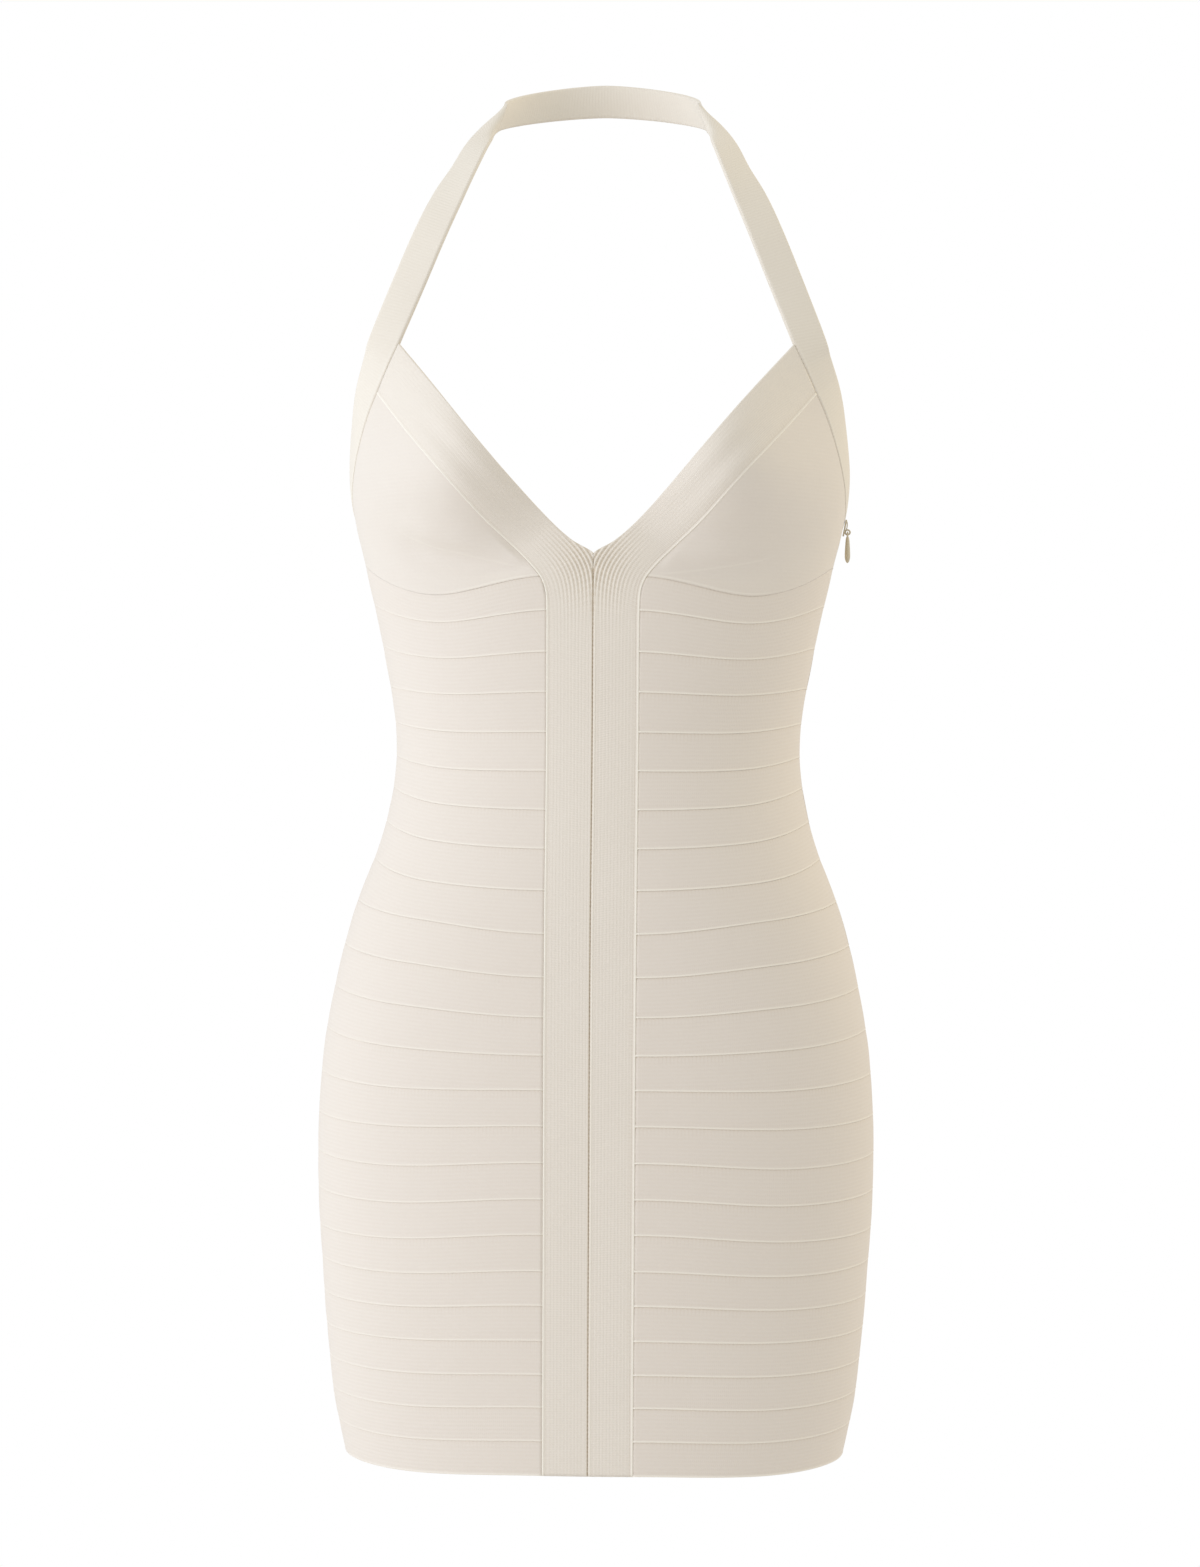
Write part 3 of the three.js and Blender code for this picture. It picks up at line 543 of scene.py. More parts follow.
# Strong ribs at the V point run down along the neck edge and turn down beside the centre seam
def ribsAtPoint(points):
    x, z = points[..., 0], points[..., 2]
    edgeX, edgeZ, slope = bandRibs["edgeTurn"]
    lean = math.radians(slope)
    fromNeckEdge = (x - edgeX) * math.sin(lean) - (z - edgeZ) * math.cos(lean)
    k = bandRibs["rounding"]
    inward = -k * np.log(np.exp(-fromNeckEdge / k) + np.exp(-x / k))
    acrossReach = (x - bandRibs["pointX"]) / bandRibs["reachX"]
    upReach = (z - bandRibs["pointZ"]) / bandRibs["reachZ"]
    near = np.exp(-np.hypot(acrossReach, upReach) ** 2)
    return np.cos(2 * np.pi * inward / bandRibs["pointPitch"]), near


def bandLines(points):
    fromSeam = seamDistance(points, points[:, 0])
    ribs, near = ribsAtPoint(points)
    return {
        "fromSeam": fromSeam, "fromEdge": distance(points, points[:, -1:]),
        "ribs": ribs, "near": near, "weltHighlight": bump(fromSeam, *bandRibs["weltHighlight"]),
        "inner": bump(fromSeam, *bandRibs["innerLine"]),
        # 1 where the two bands are sewn together
        "sewn": smooth(*bandRibs["sewn"], points[..., 2]),
    }


def bandHeight(points, lines):
    fromSeam, near = lines["fromSeam"], lines["near"]
    turn = 2 * np.pi * fromSeam / bandRibs["pitch"]
    rest = smooth(*bandRibs["rest"], fromSeam)
    ribs = bandRibs["restHeight"] * (1 - near) * np.cos(turn) * rest
    ribs = ribs + bandRibs["pointHeight"] * near * lines["ribs"]
    outerDrop = bandRibs["seamDrop"] * (1 - smooth(0, bandRibs["seamDropReach"], fromSeam))
    turnedOver = np.clip(1 - lines["fromEdge"] / bandRibs["edgeReach"], 0, 1)
    innerDrop = bandRibs["edgeRadius"] * (1 - np.sqrt(1 - turnedOver ** 2))
    raised = bandRibs["rise"] + ribs + bandRibs["weltHeight"] * lines["weltHighlight"]
    raised = raised - bandRibs["innerLineDepth"] * lines["inner"]
    # A soft furrow along each neckline arm
    fold = bandRibs["foldDepth"] * bump(fromSeam, *bandRibs["fold"])
    fold = fold * bump(points[..., 2], *bandRibs["foldHeights"])
    return raised - fold - outerDrop - innerDrop + uneven(points), fold


def bandMarks(lines, ridge, shown):
    # Painted shade darkens the inner channel and the rib grooves at the V point. Together with the dark join
    # it makes the centre line. Painted highlight lightens the welt, the centre ridge and the rib crests at
    # the V point.
    centreLine = lines["sewn"] * line(lines["fromEdge"], bandRibs["centreLineHalf"])
    paintedGrooveShade = bandRibs["pointShade"] * lines["near"] * (0.5 - 0.5 * lines["ribs"])
    seam = bandRibs["centreShade"] * centreLine + shown["innerShade"] * lines["inner"] + paintedGrooveShade
    weltHighlight = lines["weltHighlight"] + bandRibs["ridgeLight"] * ridge
    weltHighlight = weltHighlight + bandRibs["pointLight"] * lines["near"] * lines["ribs"]
    rungs = bump(lines["fromSeam"], *bandRibs["rungs"]) * shown["rungs"]
    return {"seam": np.clip(seam, 0, 1), "weltHighlight": np.clip(weltHighlight, 0, 1), "rungs": rungs}


def buildBands():
    spots = bandSpots()
    lines = bandLines(spots[0])
    base, fold = bandHeight(spots[0], lines)
    along = arcLength(spots[0][:, 0])[:, None]
    layout = joined(along + 0 * lines["fromSeam"], lines["fromSeam"])
    for side, shown in bandSides.items():
        ridge = lines["sewn"] * bump(lines["fromEdge"], *bandRibs["ridge"])
        ridge = ridge * shown["ridge"]
        relief = base + bandRibs["ridgeHeight"] * ridge, layout, bandMarks(lines, ridge, shown)
        sided = onSide(spots, side)
        addCloth("centre_band_" + side, sided, relief, "rib", inside=8, insideRibs=fold)


# The strips: flat bands of knit, each with a fine rolled edge along its bottom that lies over the next one
strip = {
    "edgeStops": [0, 0.12, 0.3, 0.6, 1.0, 1.7], "middleStops": [0.25, 0.45, 0.65, 0.82],
    "lowStops": [2.1, 1.4, 1.0, 0.7, 0.42, 0.18, 0], "wrapRows": 310, "frontRows": 104,
    "firstAngle": 8.0, "settling": 4, "lengthColumn": 8,
    "paintedShadowLine": (0.3, 0.9), "shade": 0.24, "ridge": (0.5, 0.95), "ridgeHeight": 0.28, "ridgeLight": 0.9,
    "topDrop": 0.12, "topReach": 0.9, "bottomDrop": 0.04, "bottomReach": 0.42,
    "crown": 0.16, "crownPower": 0.6,
}
stripRungs = {"top": (1.4, 2.6), "spread": 0.3, "spreadOver": (12, 3), "low": (2.2, 2.0), "lowShare": 0.6}
# How strongly the strips' seams show, near the front and towards the side of each half and at the back. It
# scales the ridges and their painted highlight, the painted shadow line and the stitch rungs.
strength = {"left": (1.0, 0.65), "right": (0.75, 0.25), "back": 0.6, "angles": (12, 85)}


def stripShares(width):
    top = np.array(strip["edgeStops"])[None, :] / width
    middle = np.array(strip["middleStops"])[None, :] + 0 * width
    low = 1 - np.array(strip["lowStops"])[None, :] / width
    return np.concatenate([top, middle, low], axis=1)


def stripSpots(topSeam, lowSeam, lastAngle, rows):
    share = np.linspace(0, 1, rows)[:, None]
    angle = mix(strip["firstAngle"], lastAngle, share)
    across = stripShares(seamHeight(topSeam, angle) - seamHeight(lowSeam, angle))
    gap = cloth["gap"] / 2
    lowGap = 0 if lowSeam == len(seams["front"]) - 1 else gap
    # The seams' heights follow the angle, and the first angle follows the height
    for again in range(strip["settling"]):
        z = mix(seamHeight(topSeam, angle) - gap, seamHeight(lowSeam, angle) + lowGap, across)
        angle = mix(angleOf(bandSeamX(z) + gap, z), lastAngle, share)
    return onForm(angle, z), angle


def seamStrength(side, angle):
    near, far = strength[side]
    front = mix(near, far, smooth(*strength["angles"], np.abs(angle)))
    return np.where(np.abs(angle) > 90, strength["back"], front)


def stripRelief(points, angle, side, topShare=1.0):
    around = arcLength(points[:, strip["lengthColumn"]])
    fromTop = distance(points, points[:, :1])
    fromLow = distance(points, points[:, -1:])
    total = fromTop + fromLow
    power = seamStrength(side, angle)
    ridge = bump(fromLow, *strip["ridge"]) * power
    topDrop = strip["topDrop"] * (1 - smooth(0, strip["topReach"], fromTop)) * topShare
    lowDrop = strip["bottomDrop"] * (1 - smooth(0, strip["bottomReach"], fromLow))
    crown = strip["crown"] * (4 * fromTop * fromLow / total**2) ** strip["crownPower"]
    height = crown + strip["ridgeHeight"] * ridge - topDrop - lowDrop + uneven(points)
    # Painted shadow: a tan line along the top edge, under the rolled edge of the strip above. Painted
    # highlight: along this strip's own rolled edge.
    paintedShadowLine = bump(fromTop, *strip["paintedShadowLine"]) * topShare
    spread = stripRungs["spread"] * smooth(*stripRungs["spreadOver"], fromTop)
    rungs = topShare * (bump(fromTop, *stripRungs["top"]) + spread)
    rungs = rungs + stripRungs["lowShare"] * bump(fromLow, *stripRungs["low"])
    seam = strip["shade"] * paintedShadowLine * power
    marks = {"seam": seam, "weltHighlight": strip["ridgeLight"] * ridge, "rungs": rungs * power}
    return height, joined(around[:, None] + 0 * fromTop, fromTop), marks


# The seam under each cup shows beside the band and fades out before the side seam
cupSeamFade = {"right": (68, 98), "left": (90, 115), "least": 0.15, "backAngles": (88, 105)}


def cupSeamShare(points, angle, side):
    shown = 1 - (1 - cupSeamFade["least"]) * smooth(*cupSeamFade[side], np.abs(points[..., 0]))
    return np.maximum(shown, smooth(*cupSeamFade["backAngles"], np.abs(angle)))


def buildStrips():
    for i in range(1, len(seams["front"])):
        for side in ("right", "left"):
            last = (270 if side == "right" else 90) - cloth["sideGapAngle"]
            rows = strip["wrapRows"] if side == "right" else strip["frontRows"]
            spots, angle = stripSpots(i - 1, i, last, rows)
            topShare = cupSeamShare(spots[0], angle, side) if i == 1 else 1.0
            relief = stripRelief(spots[0], angle, side, topShare)
            sided = onSide(spots, side)
            addCloth(f"{side}_strip_{i:02d}", sided, relief, "plain")


# The cups, plain knit from the band's seam to the side seam and the armhole binding
armhole = {
    "seamAngle": [90, 80.5, 72, 64, 57, 51.6], "seamZ": [-261.5, -254, -240, -222, -203.5, -190],
    "edgeAngle": [90, 86.5, 80.5, 73.5, 66.5, 60.5], "edgeZ": [-241, -235, -225, -209.5, -192, -178],
}
cup = {"rows": 150, "columns": 144, "sideShare": 2 / 12, "top": 0.03, "sagPower": 1.5}
lastSideAngle = 90 - cloth["sideGapAngle"]
cupCrease = {  # the soft fold under the bust on each side, from the side seam's end inwards, with a painted highlight line along it
    "right": {"x": [121.5, 98.5, 76.8, 50.2, 32.6], "z": [-268.7, -280, -285.7, -291.7, -295.2],
              "depth": 2.0},
    "left": {"x": [112, 94, 74.9, 51.3, 34.6], "z": [-283, -289, -292.6, -295.9, -297.3], "depth": 1.0},
    "half": 8, "hollowAt": 0.6, "fadeIn": (0, 0.25), "fadeOut": (1.0, 0.82), "steps": 90,
    "fromBottom": 8, "fromBand": 6, "light": 0.2, "lightLine": (0.6, 1.0),
}
cupEdges = {
    "rise": 0.1, "drop": 0.08, "dropReach": 0.8, "bandHalf": 0.35, "bandShade": 0.1,
    "armHalf": 0.4, "armShade": 0.16, "seamHalf": 0.5, "seamShade": 0.3, "dotPitch": 2.4, "plainShare": 0.8,
    "light": 0.45, "lightLine": (1.3, 1.0), "rungShare": 0.4, "rungs": (2.0, 2.0), "layoutShift": 400,
}


def cupSpots():
    share = np.linspace(0, 1, cup["rows"])
    place = mix(placeOfHeight(seams["front"][0]), cup["top"], share)
    seamX, seamZ, edgeX, edgeZ = (numberedCurve(band[k], place) for k in ("seamX", "seamZ", "edgeX", "edgeZ"))
    past = -cloth["gap"] / 2 / np.hypot(seamX - edgeX, seamZ - edgeZ)
    x = mix(seamX, edgeX, past)
    startZ = np.where(share == 0, seamZ + cloth["gap"] / 2, mix(seamZ, edgeZ, past))
    start = angleOf(x, startZ)
    low = share <= cup["sideShare"]
    armPlace = (len(armhole["seamZ"]) - 1) * (share - cup["sideShare"]) / (1 - cup["sideShare"])
    sideBottom = seams["side"][0] + cloth["gap"] / 2
    sideZ = mix(sideBottom, armhole["seamZ"][0] - cloth["gap"], share / cup["sideShare"])
    endZ = np.where(low, sideZ, numberedCurve(armhole["seamZ"], np.maximum(armPlace, 0)))
    armAngle = numberedCurve(armhole["seamAngle"], np.maximum(armPlace, 0))
    end = np.where(low, lastSideAngle, np.minimum(armAngle, lastSideAngle))
    across = np.linspace(0, 1, cup["columns"] + 1)[None, :]
    bottomAngle = mix(start[0], end[0], across)
    sag = seamHeight(0, bottomAngle) + cloth["gap"] / 2 - mix(startZ[0], endZ[0], across)
    angle = mix(start[:, None], end[:, None], across)
    z = mix(startZ[:, None], endZ[:, None], across) + sag * ((1 - share) ** cup["sagPower"])[:, None]
    return onForm(angle, z)


def creaseDistance(points, crease):
    places = np.linspace(0, len(crease["x"]) - 1, cupCrease["steps"])
    x, z = (numberedCurve(crease[k], places) for k in ("x", "z"))
    gaps = np.hypot(points[..., 0, None] - x, points[..., 2, None] - z)
    nearest = gaps.argmin(axis=-1)
    side = points[..., 2] - z[nearest]
    return gaps.min(axis=-1) * np.sign(side), nearest / (cupCrease["steps"] - 1)


def cupFold(points, side):
    away, place = creaseDistance(points, cupCrease[side])
    fade = smooth(*cupCrease["fadeIn"], place) * smooth(*cupCrease["fadeOut"], place)
    half = cupCrease["half"]
    raised = line(away - half, half)
    hollow = line(away + half * cupCrease["hollowAt"], half)
    return cupCrease[side]["depth"] * fade * (raised - hollow), away, fade


def cupMarks(points, side, seamShare, fromBand, fromArm, fromBottom):
    # Dark lines along the cup's seams, partly the seams and their stitching and partly painted shade in the
    # joins, and a painted highlight along the bottom seam
    k = cupEdges
    dotted = 0.5 + 0.5 * np.sign(np.sin(2 * np.pi * points[..., 0] / k["dotPitch"]))
    shown = dotted if side == "right" else k["plainShare"]
    seam = k["seamShade"] * (seamShare * line(fromBottom, k["seamHalf"]) * shown)
    seam = seam + k["bandShade"] * line(fromBand, k["bandHalf"])
    seam = seam + k["armShade"] * line(fromArm, k["armHalf"])
    weltHighlight = k["light"] * seamShare * bump(fromBottom, *k["lightLine"])
    rungs = k["rungShare"] * seamShare * bump(fromBottom, *k["rungs"])
    return seam, weltHighlight, rungs


def buildCups():
    spots = cupSpots()
    points = spots[0]
    borders = (points[:, :1], points[:, -1:], points[:1], points[-1:])
    fromBand, fromArm, fromBottom, fromTop = (distance(points, b) for b in borders)
    edge = np.minimum(np.minimum(fromBand, fromArm), np.minimum(fromBottom, fromTop))
    layout = joined(fromBand, points[..., 2] + cupEdges["layoutShift"])
    for side in ("left", "right"):
        seamShare = cupSeamShare(points, 0 * fromBand, side)
        shown = np.where(edge == fromBottom, seamShare, 1)
        drop = cupEdges["drop"] * (1 - smooth(0, cupEdges["dropReach"], edge)) * shown
        fold, away, fade = cupFold(points, side)
        fold = fold * smooth(0, cupCrease["fromBottom"], fromBottom)
        fold = fold * smooth(0, cupCrease["fromBand"], fromBand)
        seam, weltHighlight, rungs = cupMarks(points, side, seamShare, fromBand, fromArm, fromBottom)
        # Painted highlight: a pale line along the soft fold under the bust
        weltHighlight = cupCrease["light"] * bump(away, *cupCrease["lightLine"]) * fade + weltHighlight
        marks = {"seam": np.clip(seam, 0, 1), "weltHighlight": np.clip(weltHighlight, 0, 1), "rungs": rungs}
        relief = cupEdges["rise"] + fold - drop + uneven(points), layout, marks
        sided = onSide(spots, side)
        addCloth("cup_" + side, sided, relief, "cup", inside=8, insideRibs=-fold)


# The halter: one ribbed strip that binds each armhole, goes over the shoulder and round the neck
strap = {
    "neckX": [122.3, 115.5, 103, 90.6, 81.5, 75.5, 69.8, 66, 63.6],
    "neckY": [-63, -67, -61, -55, -46, -38, -26, -13, 2],
    "neckZ": [-176.2, -161.5, -131, -99.4, -76, -60, -44.5, -34, -27.8],
    "armX": [137, 134, 121.5, 108.7, 98.5, 89.2, 81.5, 72.5, 57.5],
    "armY": [-54, -57, -53, -46, -35, -24, -10.5, 2, 9],
    "armZ": [-167, -157, -124.5, -92, -69, -52.5, -36.5, -23.5, -8.5],
    "sewnPlaces": 1, "armholeRows": 210, "freeRows": 440, "neckRows": 220, "columns": 16,
    "ribPitch": 1.9, "ribHeight": 0.03, "crown": 0.2, "rise": 0.4, "edgeRadius": 0.85, "uneven": 0.6,
    "stops": [0, 0.03, 0.075, 0.14, 0.23, 0.34, 0.45, 0.5, 0.55, 0.66, 0.77, 0.86, 0.925, 0.97, 1],
    "firstStep": 0.15, "sewnHeights": (-150, -172), "seamShade": 0.45, "seamHalf": 0.6,
    "weltHighlight": (1.4, 0.9), "weltLight": 0.3,
}
neckLower = {"half": 63.6, "centreY": 2, "back": 60, "top": -8.4, "fall": 19.4}
neckUpper = {"half": 57.5, "centreY": 9, "back": 51.5, "top": 11.3, "fall": 19.8}
neckFallPower = 0.85


def neckRail(oval, turn):
    fall = oval["fall"] * (1 - np.cos(turn)) ** neckFallPower
    y = oval["centreY"] + oval["back"] * np.cos(turn)
    return joined(oval["half"] * np.sin(turn), y, oval["top"] - fall)


def armholeLines():
    place = np.linspace(0, len(armhole["seamZ"]) - 1, strap["armholeRows"])
    angles = [numberedCurve(armhole[k], place) for k in ("seamAngle", "edgeAngle")]
    seamAngle, edgeAngle = (np.minimum(angle, lastSideAngle) for angle in angles)
    seamZ, edgeZ = (numberedCurve(armhole[k], place) for k in ("seamZ", "edgeZ"))
    middle = formPoint(mix(seamAngle, edgeAngle, 0.5), mix(seamZ, edgeZ, 0.5))
    return formPoint(seamAngle, seamZ), middle, formPoint(edgeAngle, edgeZ), formNormal(seamAngle, seamZ)


def freeLines():
    place = np.linspace(0, len(strap["neckX"]) - 1, strap["freeRows"])[1:]
    neck, arm = (joined(*(numberedCurve(strap[side + k], place) for k in "XYZ")) for side in ("neck", "arm"))
    angle = angleOf(neck[:, 0], neck[:, 2])
    sewn = smooth(strap["sewnPlaces"] + 0.5, strap["sewnPlaces"], place)[:, None]
    neck = mix(neck, formPoint(angle, neck[:, 2]), sewn)
    return neck, (neck + arm) / 2, arm, formNormal(angle, neck[:, 2]) * sewn


def neckLines():
    turn = np.linspace(np.pi / 2, 0, strap["neckRows"])
    neck = neckRail(neckLower, turn)
    arm = neckRail(neckUpper, turn)
    return neck, (neck + arm) / 2, arm, 0 * neck


def ribbonSpots(neck, middle, arm, seamNormal):
    forward = np.gradient(middle, axis=0)
    normal = unit(np.cross(arm - neck, forward))
    kept = np.linalg.norm(seamNormal, axis=-1, keepdims=True)
    seamSide = unit(mix(normal, seamNormal, kept))
    middleNormal = unit(seamSide + normal)
    t = np.linspace(0, 1, strap["columns"] + 1)[None, :, None]
    weights = ((1 - t) * (1 - 2 * t), 4 * t * (1 - t), t * (2 * t - 1))
    points = sum(w * p[:, None] for w, p in zip(weights, (neck, middle, arm)))
    normals = unit(sum(w * p[:, None] for w, p in zip(weights, (seamSide, middleNormal, normal))))
    return points, normals


def ribbonRelief(points):
    along = arcLength(points[:, points.shape[1] // 2])
    fromNeck = distance(points, points[:, :1])
    fromArm = distance(points, points[:, -1:])
    total = fromNeck + fromArm
    edge = np.minimum(fromNeck, fromArm)
    radius = strap["edgeRadius"]
    drop = radius * (1 - np.sqrt(1 - np.clip(1 - edge / radius, 0, 1) ** 2))
    ribs = strap["ribHeight"] * np.cos(2 * np.pi * along[:, None] / strap["ribPitch"])
    crown = strap["crown"] * 4 * fromNeck * fromArm / total**2
    height = strap["rise"] + crown + ribs - drop + strap["uneven"] * uneven(points)
    layout = joined(along[:, None] + 0 * fromNeck, fromNeck)
    return height, layout, fromNeck, ribs


# A painted highlight line beside a binding's seam
def ribbonWeltHighlight(away):
    return strap["weltLight"] * bump(away, *strap["weltHighlight"])


def ribbonStops(spots):
    place = np.array(strap["stops"]) * (spots[0].shape[1] - 1)
    low = np.minimum(place.astype(int), spots[0].shape[1] - 2)
    share = (place - low)[None, :, None]
    return tuple(mix(part[:, low], part[:, low + 1], share) for part in spots)


def halterSpots():
    armSide, free, neck = armholeLines(), freeLines(), neckLines()
    lines = [np.concatenate([armSide[i], free[i], neck[i][1:]]) for i in range(4)]
    spots = ribbonStops(ribbonSpots(*lines))
    fold = strap["armholeRows"] + strap["freeRows"] - 2
    strapSpots = tuple(part[:fold + 1] for part in spots)
    half = tuple(part[fold:].copy() for part in spots)
    half[0][0] = mix(half[0][0], half[0][1], strap["firstStep"])
    half[0][-1, :, 0] = 0
    half[1][-1, :, 0] = 0
    neckSpots = tuple(np.concatenate([h, o[::-1][1:]]) for h, o in zip(half, flip(half)))
    return strapSpots, neckSpots


def buildHalter():
    strapSpots, neckSpots = halterSpots()
    height, layout, fromNeck, ribs = ribbonRelief(strapSpots[0])
    sewn = smooth(*strap["sewnHeights"], strapSpots[0][..., 2])
    # A dark line along the armhole seam, partly the seam and partly painted shade, with a painted highlight
    # line beside it
    seam = strap["seamShade"] * line(fromNeck, strap["seamHalf"]) * sewn
    marks = {"seam": seam, "weltHighlight": ribbonWeltHighlight(fromNeck) * sewn, "rungs": 0 * seam}
    for side in ("left", "right"):
        sided = onSide(strapSpots, side)
        addCloth("strap_" + side, sided, (height, layout, marks), "binding", 2, ribs)
    height, layout, fromNeck, ribs = ribbonRelief(neckSpots[0])
    marks = {key: 0 * fromNeck for key in ("seam", "weltHighlight", "rungs")}
    addCloth("neck_band", neckSpots, (height, layout, marks), "binding", 2, ribs)


# The back: a ribbed binding along its dipping top, and one more plain strip under it
back = {
    "rows": 360, "bindingStops": [0, 0.03, 0.08, 0.16, 0.3, 0.5, 0.7, 0.84, 0.92, 0.97, 1],
    "seamShade": 0.28, "seamHalf": 0.5,
}


def buildBack():
    angle = np.linspace(90 + cloth["sideGapAngle"], 270 - cloth["sideGapAngle"], back["rows"])[:, None]
    share = np.array(back["bindingStops"])[None, :]
    z = mix(backTop["upper"], backTop["lower"], share) - backDip(angle, 1)
    spots = onForm(angle, z)
    height, layout, fromTop, ribs = ribbonRelief(spots[0])
    fromLow = distance(spots[0], spots[0][:, -1:])
    # A dark line along the binding's lower seam, partly the seam and partly painted shade, with a painted
    # highlight line beside it
    seam = back["seamShade"] * line(fromLow, back["seamHalf"])
    marks = {"seam": seam, "weltHighlight": ribbonWeltHighlight(fromLow), "rungs": 0 * fromLow}
    addCloth("back_binding", spots, (height, layout, marks), "binding", inside=2)

    upper = backTop["lower"] - backDip(angle, 1) - cloth["gap"]
    firstSeam = seamHeight(0, angle) + cloth["gap"] / 2
    z = mix(upper, firstSeam, stripShares(upper - firstSeam))
    spots = onForm(angle, z)
    addCloth("back_top_strip", spots, stripRelief(spots[0], angle, "right"), "plain")


# The zip in the wearer's left side seam: its slider, its pull, and behind the seam its tape and teeth
slider = {
    "height": -264, "lift": 0.75, "thickness": 1.0, "plateZ": [-5, -4.85, -4.4, -2, 1.5, 4.2, 4.8, 5],
    "plateHalf": [1.0, 1.4, 1.65, 1.8, 2.05, 2.1, 1.8, 1.3], "bridgeOut": 3.35, "bridgeDown": 2.2,
    "ringRadius": 1.45, "ringHalf": (0.48, 0.8), "armX": [1.5, 2.0, 2.35, 2.45, 2.3],
    "armZ": [4.3, 3.5, 2.2, 0.6, -0.9], "armHalf": (0.3, 0.7),
    "plateSquare": 4, "ringSteps": 40, "armSteps": 24,
}
pull = {
    "loopHalf": 1.72, "loopHeight": 3.1, "loopSquare": 3.4, "loopSteps": 56, "barHalf": (0.47, 0.5),
    "flatness": 0.7, "ridge": 1.7, "leafSteps": 32,
    "leafZ": [-2.75, -3.4, -4.4, -6, -8, -10.5, -13, -15, -16.6, -17.7, -18.25, -18.4],
    "leafHalf": [0.95, 1.35, 1.58, 1.78, 1.98, 2.17, 2.35, 2.32, 1.9, 1.25, 0.6, 0.15],
}
chain = {"top": -262, "bottom": -560, "tapeHalf": 12, "behind": 0.35, "tapeThickness": 0.5, "toothPitch": 1.6,
         "tooth": (1.0, 2.2, 0.85), "rows": 150, "columns": 13, "firstTooth": 1, "toothLean": 0.55}
wireSquare = 2.6  # how square the section of the zip's bars is, where 2 is round


def ringSolid(name, rings, looped=False):
    count, sides = rings.shape[:2]
    at = np.arange(count * sides).reshape(count, sides)
    if looped:
        at = np.concatenate([at, at[:1]])
    following = np.roll(at, -1, axis=1)
    faces = [list(map(int, f)) for f in quads(at[:-1], following[:-1], following[1:], at[1:])]
    if not looped:
        faces += [list(map(int, at[0][::-1])), list(map(int, at[-1]))]
    mesh = bpy.data.meshes.new(name)
    mesh.from_pydata((rings.reshape(-1, 3) * mm).tolist(), [], faces)
    work = bmesh.new()
    work.from_mesh(mesh)
    bmesh.ops.recalc_face_normals(work, faces=work.faces)
    work.to_mesh(mesh)
    work.free()
    mesh.polygons.foreach_set("use_smooth", [True] * len(mesh.polygons))
    return mesh


def roundedSection(halfX, halfY, power, sides=28):
    turn = np.linspace(0, 2 * np.pi, sides, endpoint=False)
    x = np.sign(np.cos(turn)) * np.abs(np.cos(turn)) ** (2 / power)
    y = np.sign(np.sin(turn)) * np.abs(np.sin(turn)) ** (2 / power)
    return x * halfX, y * halfY


def sweepInPlane(path, halfIn, halfOut, looped, plane):
    middle = np.array(path)
    step = np.roll(middle, -1, axis=0) - np.roll(middle, 1, axis=0) if looped else np.gradient(middle, axis=0)
    ahead = unit(step)
    side = np.cross(ahead, plane)
    a, b = roundedSection(halfIn, halfOut, wireSquare)
    return middle[:, None] + side[:, None] * a[None, :, None] + np.array(plane)[None, None] * b[None, :, None]


def zipSeat():
    seat = formPoint(np.array(90.0), np.array(float(slider["height"])))
    outward = formNormal(np.array(90.0), np.array(float(slider["height"])))
    tilt = math.atan2(outward[2], outward[0])
    turned = np.array([[math.cos(tilt), 0, -math.sin(tilt)], [0, 1, 0], [math.sin(tilt), 0, math.cos(tilt)]])
    return seat - [0, nape["y"], nape["z"]], turned


enamelLook = {
    "dull": (0.55, 0.475, 0.33, 1), "bright": (0.64, 0.57, 0.42, 1), "worn": (900.0, 3.0),
    "roughness": 0.34, "roughSpread": 0.16, "sockets": {"Coat Weight": 0.2, "Coat Roughness": 0.15},
}


def enamelMaterial():
    material, tree, shader = newMaterial("cream_zip_enamel")
    here = tree.nodes.new("ShaderNodeTexCoord").outputs["Object"]
    worn = noise(tree, here, *enamelLook["worn"])
    color = mixColor(tree, worn, enamelLook["dull"], enamelLook["bright"])
    tree.links.new(color, shader.inputs["Base Color"])
    rough = timesPlus(tree, worn, enamelLook["roughSpread"], enamelLook["roughness"])
    tree.links.new(rough, shader.inputs["Roughness"])
    setInputs(shader, enamelLook["sockets"])
    return material


def buildSlider(material):
    seat, turned = zipSeat()
    plateRings = []
    for z, half in zip(slider["plateZ"], slider["plateHalf"]):
        x, y = roundedSection(slider["thickness"] / 2, half, slider["plateSquare"])
        plateRings.append(joined(x + slider["lift"] + slider["thickness"] / 2, y, 0 * x + z))
    turn = np.linspace(0, 2 * np.pi, slider["ringSteps"], endpoint=False)
    ringX = slider["bridgeOut"] + slider["ringRadius"] * np.cos(turn)
    ringZ = -slider["bridgeDown"] + slider["ringRadius"] * np.sin(turn)
    ring = sweepInPlane(joined(ringX, 0 * turn, ringZ), *slider["ringHalf"], True, (0, 1, 0))
    place = np.linspace(0, len(slider["armX"]) - 1, slider["armSteps"])
    armX, armZ = (numberedCurve(slider[k], place) for k in ("armX", "armZ"))
    arm = sweepInPlane(joined(armX, 0 * place, armZ), *slider["armHalf"], False, (0, 1, 0))
    parts = {"plate": (np.array(plateRings), False), "bridge": (ring, True), "hook": (arm, False)}
    for name, (rings, looped) in parts.items():
        mesh = ringSolid("zip_slider_" + name, rings @ turned.T + seat, looped)
        addPiece("zip_slider_" + name, mesh, "dress", material, "zip_enamel", "zip_slider")


